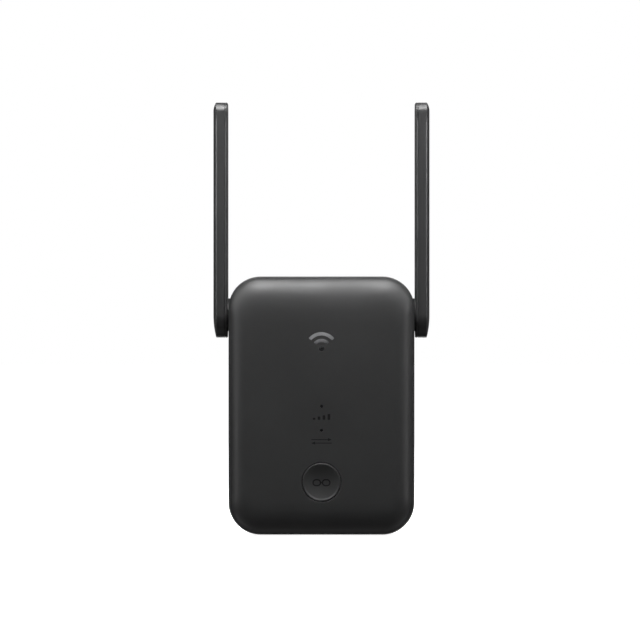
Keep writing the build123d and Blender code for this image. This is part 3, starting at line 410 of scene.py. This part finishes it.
def with_metal_feet(graph, y, reach=0.45 * MM):
    """Turns what stands within reach of a board's face at depth y to tinned metal."""
    foot = graph.spread(graph.distance(graph.along(1), y), 1.0, 0.0, reach * 0.95, reach * 1.05)
    graph.colour(graph.mix(graph.base_colour(), (0.62, 0.62, 0.60), foot))
    graph.put(graph.shader.inputs["Metallic"], foot)


def chip_black(name, board_y=None):
    """A chip's moulded body, with tinned leads where it stands on a board's face."""
    graph = Graph(name, 0.5)
    graph.colour(graph.mix(grey(0.016, 0.001), grey(0.034, 0.002), graph.spread(graph.noise(3800, 3), 0, 1)))
    graph.roughness(graph.spread(graph.noise(300, 3), 0.42, 0.62))
    graph.bump(graph.noise(5200, 2), 0.008 * MM, 0.6)
    if board_y is not None:
        with_metal_feet(graph, board_y)
    return graph.material


def white_chip(name, board_y):
    graph = Graph(name, 0.5)
    tone = graph.spread(graph.noise(2000, 3), 0, 1)
    graph.colour(graph.mix((0.66, 0.66, 0.62), (0.78, 0.78, 0.74), tone))
    graph.bump(graph.noise(4200, 2), 0.008 * MM, 0.5)
    with_metal_feet(graph, board_y)
    return graph.material


def lacquered(name, dark, light, rough=(0.18, 0.32), blotch=500, depth=0.03 * MM, coat=0.5):
    """A dipped or lacquered body with an orange-peel skin."""
    graph = Graph(name, rough[0])
    graph.colour(graph.mix(dark, light, graph.spread(graph.noise(blotch, 4), 0, 1)))
    graph.roughness(graph.spread(graph.noise(blotch * 2, 3), *rough))
    graph.bump(graph.noise(blotch * 1.6, 2), depth, 0.5)
    graph.gloss(coat, 0.12)
    return graph


def housing_plastic():
    dark, light = grey(0.0185, 0.0005), grey(0.0225, 0.0005)
    return moulded_plastic("satin_black_housing", dark, light, (0.42, 0.52)).material


def antenna_plastic():
    """The housing's plastic with a finer grain, and a painted highlight along its two rims, stronger towards
    the tip.

    Each rim is a plane across X, so its line follows the blade's outline all round.
    """
    dark, light = grey(0.0180, 0.0006), grey(0.0218, 0.0006)
    graph = moulded_plastic("satin_black_antenna", dark, light, (0.40, 0.50), depth=0.005 * MM)
    across, height = graph.maths("ABSOLUTE", graph.along(0)), graph.along(2)
    # painted highlight: a pale line along each rim, stronger higher up towards the tip, faded out just below
    # it, and a little uneven
    highlight_rise = graph.spread(height, 0.3, 1.0, 25 * MM, TIP_Z - 7 * MM)
    below_tip = graph.spread(height, 1.0, 0.0, TIP_Z - 9 * MM, TIP_Z - 5 * MM)
    rim_highlight_mask = graph.times(graph.times(highlight_rise, below_tip), graph.spread(graph.noise(220, 3), 0.85, 1.0))
    tone = graph.base_colour()
    for middle, half, strength in ((42.85 * MM, 0.26 * MM, 0.34), (39.05 * MM, 0.18 * MM, 0.26)):
        line = graph.spread(graph.distance(across, middle), strength, 0.0, 0.3 * half, 1.3 * half)
        tone = graph.mix(tone, grey(0.30, 0.006), graph.times(line, rim_highlight_mask))
    graph.colour(tone)
    return graph.material


def button_plastic():
    """The housing's plastic with a finer grain, and a painted highlight on the lower half of the dish's rim.
    """
    dark, light = grey(0.0180, 0.0005), grey(0.0215, 0.0005)
    graph = moulded_plastic("satin_black_button", dark, light, (0.40, 0.50), grain=6000)
    x, z = graph.along(0), graph.maths("SUBTRACT", graph.along(2), BUTTON_Z)
    from_axis = graph.maths("SQRT", graph.maths("ADD", graph.times(x, x), graph.times(z, z)))
    # painted highlight: a pale ring near the dish's rim, kept to its lower half, which faces the light from
    # above
    rim_highlight = graph.spread(graph.distance(from_axis, 7.0 * MM), 0.18, 0.0, 0.12 * MM, 0.45 * MM)
    below = graph.spread(z, 1.0, 0.0, -6.5 * MM, -1.0 * MM)
    graph.colour(graph.mix(graph.base_colour(), grey(0.32, 0.006), graph.times(rim_highlight, below)))
    return graph.material


def plug_plastic():
    dark, light = grey(0.0200, 0.0002), grey(0.0290, 0.0004)
    return moulded_plastic("black_plug", dark, light, (0.48, 0.66), 2600, 0.03 * MM).material


def sleeve_plastic():
    graph = moulded_plastic("sleeve_black", grey(0.010), grey(0.016), (0.32, 0.45), 4000)
    graph.bump(graph.bands(300, "Y"), 0.01 * MM, 0.4)
    return graph.material


def glossy_nylon():
    return moulded_plastic("black_nylon", grey(0.012), grey(0.019), (0.28, 0.42), 3000, 0.008 * MM).material


def emblem_metal():
    """Dark mirror-polished plating with a trace of polishing lines."""
    graph = Graph("emblem_dark_plate", 0.03, 1.0)
    graph.colour(graph.mix((0.46, 0.46, 0.475), (0.56, 0.56, 0.575), graph.spread(graph.noise(240, 3), 0, 1)))
    lines = graph.noise(2600, 2, (0.15, 1.0, 1.0))
    graph.roughness(graph.spread(lines, 0.02, 0.04))
    return graph.material


def smoked_clear():
    """Smoked clear plastic for the light guide."""
    graph = Graph("smoked_light_guide", 0.18)
    graph.colour(graph.mix((0.004, 0.004, 0.005), (0.010, 0.010, 0.011), graph.noise(500, 3)))
    graph.shader.inputs["Transmission Weight"].default_value = 0.3
    graph.shader.inputs["Specular IOR Level"].default_value = 0.3
    graph.roughness(graph.spread(graph.noise(900, 2), 0.18, 0.30))
    return graph.material


def label_film():
    """Silver-grey printed film with a fine paper-like tooth."""
    graph = Graph("label_film", 0.45)
    graph.colour(graph.mix((0.48, 0.485, 0.49), (0.56, 0.565, 0.57), graph.spread(graph.noise(120, 5), 0, 1)))
    graph.roughness(graph.spread(graph.noise(1800, 3), 0.36, 0.52))
    graph.bump(graph.noise(3200, 3), 0.006 * MM, 0.5)
    return graph.material


def printing_ink(name, tone, rough=0.4):
    """Pad-printed ink: an uneven film over the plastic's grain."""
    graph = Graph(name, rough)
    graph.shader.inputs["Specular IOR Level"].default_value = 0.15
    dark = tuple(channel * 0.7 for channel in tone)
    graph.colour(graph.mix(dark, tone, graph.spread(graph.noise(3000, 3), 0, 1)))
    graph.roughness(graph.spread(graph.noise(1500, 3), rough, rough + 0.15))
    graph.bump(graph.noise(4200, 2), 0.006 * MM, 0.5)
    return graph.material


def winding_tape():
    """Layers of amber tape over the winding, and the ridges of the wire beneath."""
    graph = Graph("winding_tape", 0.3)
    layers = graph.bands(520, "Y", 1.5)
    graph.colour(graph.mix((0.55, 0.38, 0.03), (0.74, 0.58, 0.07), graph.spread(layers, 0, 1, 0.2, 0.8)))
    graph.roughness(graph.spread(graph.noise(400, 3), 0.2, 0.38))
    graph.bump(layers, 0.05 * MM, 0.5)
    graph.gloss(0.4, 0.1)
    return graph.material


def can_sleeve():
    """The shrunk sleeve of an electrolytic can, with its stripe down one side."""
    graph = Graph("can_sleeve", 0.3)
    field = graph.mix((0.015, 0.02, 0.05), (0.03, 0.04, 0.09), graph.spread(graph.noise(180, 3), 0, 1))
    stripe = graph.spread(graph.noise(70, 0), 0, 1, 0.60, 0.61)
    graph.colour(graph.mix(field, (0.45, 0.46, 0.50), stripe))
    graph.roughness(graph.spread(graph.noise(600, 3), 0.22, 0.38))
    graph.bump(graph.noise(420, 3), 0.04 * MM, 0.5)
    graph.gloss(0.5, 0.1)
    return graph.material


def ferrite(name, dark, light):
    graph = Graph(name, 0.6)
    speck = graph.cells(3600)
    graph.colour(graph.mix(dark, light, graph.spread(speck, 0, 1, 0.1, 0.6)))
    graph.roughness(graph.spread(graph.noise(1200, 4), 0.5, 0.75))
    graph.bump(speck, 0.02 * MM, 0.6)
    return graph.material


def resistor_body():
    """A lacquered ceramic rod with plain colour rings."""
    graph = lacquered("resistor_lacquer", (0.26, 0.44, 0.30), (0.38, 0.58, 0.42))
    x = graph.maths("ABSOLUTE", graph.along(0))
    tone = graph.base_colour()
    rings = ((0.9 * MM, (0.35, 0.05, 0.03)), (2.4 * MM, grey(0.02)), (3.9 * MM, (0.55, 0.36, 0.08)))
    for middle, ring in rings:
        tone = graph.mix(tone, ring, graph.spread(graph.distance(x, middle), 1.0, 0.0, 0.40 * MM, 0.45 * MM))
    graph.colour(tone)
    return graph.material


def clear_film():
    graph = Graph("insulating_film", 0.3)
    graph.colour(graph.mix((0.55, 0.55, 0.50), (0.72, 0.72, 0.66), graph.spread(graph.noise(150, 4), 0, 1)))
    graph.shader.inputs["Transmission Weight"].default_value = 0.5
    graph.roughness(graph.spread(graph.noise(800, 3), 0.25, 0.45))
    graph.bump(graph.noise(120, 2), 0.03 * MM, 0.4)
    return graph.material


def tinned_steel():
    """Tin plate with its crystal pattern."""
    graph = Graph("tinned_steel", 0.3, 1.0)
    flower = graph.cells(300)
    graph.colour(graph.mix((0.55, 0.55, 0.54), (0.72, 0.72, 0.70), graph.spread(flower, 0, 1, 0.1, 0.7)))
    graph.roughness(graph.spread(graph.maths("ADD", flower, graph.noise(2200, 3)), 0.22, 0.42, 0.6, 1.3))
    graph.bump(graph.noise(1800, 3), 0.004 * MM, 0.5)
    return graph.material


def soft_pad():
    graph = Graph("thermal_pad", 0.8)
    graph.colour(graph.mix((0.34, 0.39, 0.48), (0.46, 0.51, 0.60), graph.spread(graph.noise(1400, 4), 0, 1)))
    graph.roughness(graph.spread(graph.noise(500, 3), 0.7, 0.9))
    graph.bump(graph.noise(2400, 3), 0.03 * MM, 0.6)
    return graph.material


def led_resin():
    graph = Graph("led_resin", 0.2)
    graph.colour(graph.mix((0.80, 0.72, 0.38), (0.92, 0.88, 0.62), graph.spread(graph.noise(1800, 2), 0, 1)))
    graph.shader.inputs["Transmission Weight"].default_value = 0.3
    graph.roughness(graph.spread(graph.noise(1200, 2), 0.15, 0.3))
    return graph.material


def cable_jacket():
    """A thin extruded jacket, with the braid just showing through as a fine ripple."""
    graph = Graph("cable_jacket", 0.35)
    ripple = graph.bands(1500, "Z", 2.0)
    graph.colour(graph.mix(grey(0.022), grey(0.036), graph.spread(graph.noise(700, 3), 0, 1)))
    graph.roughness(graph.spread(graph.noise(900, 3), 0.28, 0.42))
    graph.bump(ripple, 0.01 * MM, 0.4)
    return graph.material


def metals():
    """The plated and rolled metals, by the name of what is made of them."""
    made = {
        "contacts": metal("gold_plate", (0.72, 0.50, 0.18), (0.86, 0.65, 0.28), (0.16, 0.34), (1, 1, 0.2)),
        "pins": metal("nickel_plate", (0.60, 0.57, 0.50), (0.74, 0.71, 0.64), (0.16, 0.34), (1, 0.12, 1)),
        "strips": metal("spring_brass", (0.62, 0.42, 0.18), (0.76, 0.56, 0.28), (0.24, 0.42), (0.2, 1, 1)),
        "switches": metal("stamped_steel", (0.50, 0.50, 0.49), (0.64, 0.64, 0.62), (0.24, 0.42)),
        "screws": metal("zinc_plate", (0.48, 0.49, 0.51), grey(0.66), (0.26, 0.46), blotch=400),
        "springs": metal("spring_steel", grey(0.10), grey(0.20), (0.34, 0.52), blotch=300),
        "spreader": metal(
            "extruded_aluminium",
            (0.60, 0.61, 0.63),
            (0.72, 0.73, 0.75),
            (0.24, 0.44),
            stretch=(1, 1, 0.06),
            grain=3200,
            depth=0.01 * MM,
        ),
    }
    return {name: graph.material for name, graph in made.items()}


def make_materials():
    """The material of every CAD node."""
    housing, antenna, nylon = housing_plastic(), antenna_plastic(), glossy_nylon()
    tinned, sleeve, cable = tinned_steel(), can_sleeve(), cable_jacket()
    metal_of = metals()
    mask_dark, mask_light, copper = (0.006, 0.055, 0.020), (0.010, 0.085, 0.034), (0.020, 0.17, 0.06)
    green = printed_board("green_board", mask_dark, mask_light, copper, pad=(0.75, 0.58, 0.25))
    front_chips, rear_chips = chip_black("chips_front", BOARD_FRONT_Y), chip_black("chips_rear", BOARD_REAR_Y)
    power_chips = chip_black("chips_power", POWER_REAR_Y)
    plunger = moulded_plastic("plunger_plastic", grey(0.030, 0.001), grey(0.048, 0.002), (0.4, 0.55)).material
    made = {
        "front_cover": housing,
        "rear_cover": housing,
        "wps_button": button_plastic(),
        "emblem_insert": emblem_metal(),
        "light_guide": smoked_clear(),
        "rating_label": label_film(),
        "plug_body": plug_plastic(),
        "plug_pins": metal_of["pins"],
        "pin_sleeves": sleeve_plastic(),
        "pin_contacts": metal_of["strips"],
        "power_board": laminate("power_board_laminate"),
        "transformer_core": ferrite("sintered_ferrite", grey(0.030, 0.004), grey(0.075, 0.005)),
        "transformer_bobbin": winding_tape(),
        "bulk_capacitors": sleeve,
        "output_capacitor": sleeve,
        "input_choke": ferrite("shrink_sleeved_choke", (0.014, 0.013, 0.013), (0.03, 0.028, 0.027)),
        "fuse_resistor": resistor_body(),
        "bridge_rectifier": power_chips,
        "safety_capacitor": lacquered("blue_epoxy", (0.02, 0.10, 0.36), (0.04, 0.16, 0.50)).material,
        "power_controller": power_chips,
        "optocoupler": white_chip("white_chip", POWER_REAR_Y),
        "header_body": nylon,
        "header_pins": metal_of["contacts"],
        "insulating_sheet": clear_film(),
        "main_board": green,
        "shield_cans": tinned,
        "processor_chip": chip_black("processor_chip"),
        "thermal_pad": soft_pad(),
        "heat_spreader": metal_of["spreader"],
        "memory_chips": front_chips,
        "crystal": tinned,
        "status_leds": led_resin(),
        "wps_switch_body": metal_of["switches"],
        "wps_switch_plunger": plunger,
        "reset_switch_body": metal_of["switches"],
        "reset_switch_plunger": plunger,
        "network_transformer": rear_chips,
        "network_jack_housing": nylon,
        "network_jack_contacts": metal_of["contacts"],
        "network_jack_shield": tinned,
        "coax_sockets": metal_of["contacts"],
        "board_screws": metal_of["screws"],
        "power_board_screws": metal_of["screws"],
    }
    for side in ("right", "left"):
        made[f"antenna_shell_{side}"] = antenna
        made[f"antenna_cover_{side}"] = antenna
        made[f"antenna_board_{side}"] = green
        made[f"antenna_cable_{side}"] = cable
        made[f"retaining_clip_{side}"] = metal_of["springs"]
        made[f"friction_washer_{side}"] = metal_of["springs"]
        made[f"feed_cable_{side}"] = cable
    return made


def dress_frame():
    """Gives every CAD node its material and clean shading."""
    made = make_materials()
    for name, node in nodes.items():
        node.data.materials.clear()
        node.data.materials.append(made[name])
        weld = node.modifiers.new("weld", "WELD")
        weld.merge_threshold = 0.002 * MM
        smooth = node.modifiers.new("even_normals", "WEIGHTED_NORMAL")
        smooth.weight = 60
        smooth.keep_sharp = True


# ---------------------------------------------------------------- pieces added to the frame
def new_piece(name, mesh_maker, material, body):
    """A mesh piece whose maker fills a bmesh in the shared frame."""
    mesh = bpy.data.meshes.new(name)
    shape = bmesh.new()
    mesh_maker(shape)
    shape.normal_update()
    shape.to_mesh(mesh)
    shape.free()
    piece = bpy.data.objects.new(name, mesh)
    bpy.context.scene.collection.objects.link(piece)
    mesh.materials.append(material)
    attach(piece, body)
    return piece


def slab(shape, outline, y_face, y_back, drop=lambda x, z: 0.0):
    """Adds a plate with an outline of (x, z) points; drop sets it back where it follows a curved surface."""
    face, back = [], []
    for x, z in outline:
        face.append(shape.verts.new((x, y_face + drop(x, z), z)))
        back.append(shape.verts.new((x, y_back + drop(x, z), z)))
    shape.faces.new(face)
    shape.faces.new(back[::-1])
    count = len(outline)
    for i in range(count):
        j = (i + 1) % count
        shape.faces.new((face[j], face[i], back[i], back[j]))


def rounded(x0, x1, z0, z1, r, steps=5):
    """A rounded rectangle's outline, anticlockwise as seen from the front."""
    points = []
    corners = ((x1 - r, z1 - r, 0), (x0 + r, z1 - r, 90), (x0 + r, z0 + r, 180), (x1 - r, z0 + r, 270))
    for cx, cz, start in corners:
        for i in range(steps + 1):
            turn = math.radians(start + 90 * i / steps)
            points.append((cx + r * math.cos(turn), cz + r * math.sin(turn)))
    return points


INK_Y, INK_BACK = FRONT_Y - 0.02 * MM, FRONT_Y + 0.02 * MM


def bars_icon(shape):
    """Four rising signal bars under the upper light."""
    width, pitch, low, corner_r = 1.05 * MM, 2.0 * MM, -17.55 * MM, 0.22 * MM
    for i, height in enumerate((0.8, 1.3, 1.8, 2.3)):
        x = (i - 1.5) * pitch
        slab(shape, rounded(x - width / 2, x + width / 2, low, low + height * MM, corner_r), INK_Y, INK_BACK)


def arrows_icon(shape):
    """Two arrows pointing opposite ways under the lower light."""
    stem, head, head_half, half = 0.30 * MM, 1.5 * MM, 0.62 * MM, 4.1 * MM
    points = [
        (-half, -stem / 2),
        (half - head, -stem / 2),
        (half - head, -head_half),
        (half, 0),
        (half - head, head_half),
        (half - head, stem / 2),
        (-half, stem / 2),
    ]
    for z, way in ((-25.6 * MM, 1), (-27.0 * MM, -1)):
        slab(shape, [(way * x, z + way * dz) for x, dz in points], INK_Y, INK_BACK)


def dish_drop(x, z):
    """How far the button's dish lies behind the housing's front face at a point."""
    dish_r, depth = 7.4 * MM, 1.2 * MM
    ball_r = (dish_r**2 + depth**2) / (2 * depth)
    squared = x**2 + (z - BUTTON_Z) ** 2
    return BUTTON_FRONT_Y + depth - ball_r + math.sqrt(ball_r**2 - squared) - FRONT_Y


def ring_strip(shape, centre_x, centre_z, half_w, half_h, stroke):
    """A stadium-shaped link, drawn as a closed strip that follows the dish."""
    steps = 14
    line = []  # for each point, the middle of its end's arc, and its direction from there
    straight = half_w - half_h
    for side, start in ((1, -90), (-1, 90)):
        for i in range(steps + 1):
            turn = math.radians(start + 180 * i / steps)
            line.append((side * straight, math.cos(turn), math.sin(turn)))
    loops = []
    for grow in (half_h - stroke, half_h):
        loops.append([(centre_x + x + grow * c, centre_z + grow * s) for x, c, s in line])
    count = len(line)
    for i in range(count):
        j = (i + 1) % count
        slab(shape, [loops[0][i], loops[1][i], loops[1][j], loops[0][j]], INK_Y, INK_BACK, dish_drop)


def link_icon(shape):
    """Two chain links in the button's dish, and the short bar that joins them."""
    z, stroke = BUTTON_Z - 0.2 * MM, 0.50 * MM
    for side in (1, -1):
        ring_strip(shape, side * 1.9 * MM, z, 1.75 * MM, 1.45 * MM, stroke)
    half_w, half_h, parts = 0.6 * MM, stroke / 2, 4
    for i in range(parts):
        x0, x1 = (-half_w + 2 * half_w * k / parts for k in (i, i + 1))
        quad = [(x0, z - half_h), (x1, z - half_h), (x1, z + half_h), (x0, z + half_h)]
        slab(shape, quad, INK_Y, INK_BACK, dish_drop)


def label_rules(shape):
    """A blank rating table on the label: its frame and its dividing rules."""
    y0, y1 = LABEL_FACE - 0.01 * MM, LABEL_FACE + 0.03 * MM
    left, right, low, high, line = -21.0 * MM, 21.0 * MM, -51.0 * MM, -25.0 * MM, 0.25 * MM
    spans = [(left, right, low, low + line), (left, right, high - line, high)]
    spans += [(left, left + line, low, high), (right - line, right, low, high)]
    for z in (-29.5, -33.8, -38.1, -42.4, -46.7):
        spans.append((left, right, z * MM, z * MM + line))
    spans.append((-6.0 * MM, -6.0 * MM + line, -46.7 * MM, -29.5 * MM))
    for x0, x1, z0, z1 in spans:
        slab(shape, [(x1, z1), (x0, z1), (x0, z0), (x1, z0)][::-1], y1, y0)


def brick(shape, x, y, z, w, d, h):
    """An upright block of width w, depth d and height h, centred on a point, with softened long edges."""
    soft = 0.12 * min(w, h)
    corners = [
        (-w / 2 + soft, -h / 2),
        (w / 2 - soft, -h / 2),
        (w / 2, -h / 2 + soft),
        (w / 2, h / 2 - soft),
    ]
    corners += [(-dx, -dz) for dx, dz in corners]
    slab(shape, [(x + dx, z + dz) for dx, dz in corners], y - d / 2, y + d / 2)


# where small parts may stand on the main board, and what stands on each of its faces already, as
# (x0, x1, z0, z1), all in millimetres
BOARD_X, BOARD_Z = (-30, 30), (-57, 32)
FRONT_TAKEN = [
    (-20, 8, 3, 27), (7.5, 27.5, -17, 1), (-26, -19, -12, -4), (-20, -8, -11, -1.5), (-20, -10, -40, -28),
    (10, 17, 14.5, 19.5), (-6, 6, -49, -38), (-6, 6, -27, -9), (22, 29, 29, 37), (-29, -22, 29, 37),
    (23, 31, -58, -50), (-31, -23, -58, -50),
]
REAR_TAKEN = [
    (-10, 10, -66, -35), (-7, 7, -28, -21), (25, 34, 0, 17), (-34, -25, 0, 17), (12, 21, -64, -52),
    (22, 29, 29, 37), (-29, -22, 29, 37), (23, 31, -58, -50), (-31, -23, -58, -50),
]


def free_places(rng, count, taken):
    """Seeded places on a board, on a half-millimetre grid, clear of its parts and of each other."""
    margin, part_w, part_h = 1.4, 2.7, 1.9

    def on_a_part(x, z):
        return any(
            x0 - margin <= x <= x1 + margin and z0 - margin <= z <= z1 + margin for x0, x1, z0, z1 in taken
        )

    places = []
    while len(places) < count:
        x, z = (round(rng.uniform(*span) * 2) / 2 for span in (BOARD_X, BOARD_Z))
        crowded = any(abs(x - px) < part_w and abs(z - pz) < part_h for px, pz in places)
        if not crowded and not on_a_part(x, z):
            places.append((x, z))
    return places


# a chip resistor's or capacitor's width, height and thickness, in millimetres
CHIP_SIZES = ((1.6, 0.8, 0.5), (1.0, 0.5, 0.4), (2.0, 1.25, 0.7))


def small_parts(name, seed, count, face_y, outward, taken, dark, solder):
    """Chip resistors and capacitors on a board: their bodies, and their tinned ends."""
    rng = random.Random(seed)
    places = free_places(rng, count, taken)
    sizes = [rng.choice(CHIP_SIZES) for _ in places]

    def block(shape, x, z, out, w, d, h):
        brick(shape, x * MM, face_y + outward * out * MM, z * MM, w * MM, d * MM, h * MM)

    def bodies(shape):
        for (x, z), (w, h, d) in zip(places, sizes):
            block(shape, x, z, d / 2, w * 0.62, d, h * 0.94)

    def ends(shape):
        """A tinned cap on each end of a part, and its solder on the board beyond."""
        solder_d = 0.12
        for (x, z), (w, h, d) in zip(places, sizes):
            for side in (1, -1):
                block(shape, x + side * w * 0.40, z, d / 2, w * 0.2, d * 1.04, h)
                block(shape, x + side * w * 0.56, z, solder_d / 2, w * 0.2, solder_d, h)

    new_piece(name + "_bodies", bodies, dark, "housing")
    new_piece(name + "_ends", ends, solder, "housing")


def solder_joints(shape):
    """Cone-shaped joints round the leads on the power board's front."""
    fuse_resistor = [(6.6, -8.5), (-6.6, -8.5)]
    safety_capacitor = [(-11.9, 10.0), (-11.9, 15.0)]
    transformer = [(side * x, z) for side in (1, -1) for x in (4.0, 1.5) for z in (14.0, 26.0)]
    contact_strips = [(side * x, z) for side in (1, -1) for x in (8.5, 11.5) for z in (5.2, 6.6)]
    profile = ((0.85, 0.0), (0.62, 0.10), (0.34, 0.18), (0.20, 0.21))  # radius, and height off the board
    sides = 12
    for x, z in fuse_resistor + safety_capacitor + transformer + contact_strips:
        rings = []
        for r, out in profile:
            y = POWER_FRONT_Y - out * MM
            turns = [2 * math.pi * i / sides for i in range(sides)]
            ring = [((x + r * math.cos(turn)) * MM, y, (z + r * math.sin(turn)) * MM) for turn in turns]
            rings.append([shape.verts.new(point) for point in ring])
        for inner, outer in zip(rings, rings[1:]):
            for i in range(sides):
                j = (i + 1) % sides
                shape.faces.new((inner[i], inner[j], outer[j], outer[i]))
        shape.faces.new(rings[-1])


def add_pieces():
    ink = printing_ink("black_ink", grey(0.0070, 0.0004), 0.6)
    new_piece("icon_bars", bars_icon, ink, "housing")
    new_piece("icon_arrows", arrows_icon, ink, "housing")
    new_piece("icon_link", link_icon, ink, "button")
    label_ink = printing_ink("label_ink", grey(0.05, 0.005))
    new_piece("label_rules", label_rules, label_ink, "housing")
    solder = metal("solder", (0.52, 0.52, 0.51), (0.70, 0.70, 0.68), (0.18, 0.36), blotch=900).material
    dark, light = (0.02, 0.018, 0.016), (0.16, 0.11, 0.07)
    bodies = lacquered("small_part_bodies", dark, light, (0.35, 0.5), 160, 0.006 * MM, coat=0.0).material
    small_parts("front_parts", 4, 52, BOARD_FRONT_Y, -1, FRONT_TAKEN, bodies, solder)
    small_parts("rear_parts", 9, 40, BOARD_REAR_Y, 1, REAR_TAKEN, bodies, solder)
    new_piece("solder_joints", solder_joints, solder, "housing")


# ---------------------------------------------------------------- the scene
make_camera()
make_world()
make_lights()
make_floor()
make_emblem_card()
dress_frame()
add_pieces()
bpy.context.scene.view_settings.view_transform = "Standard"
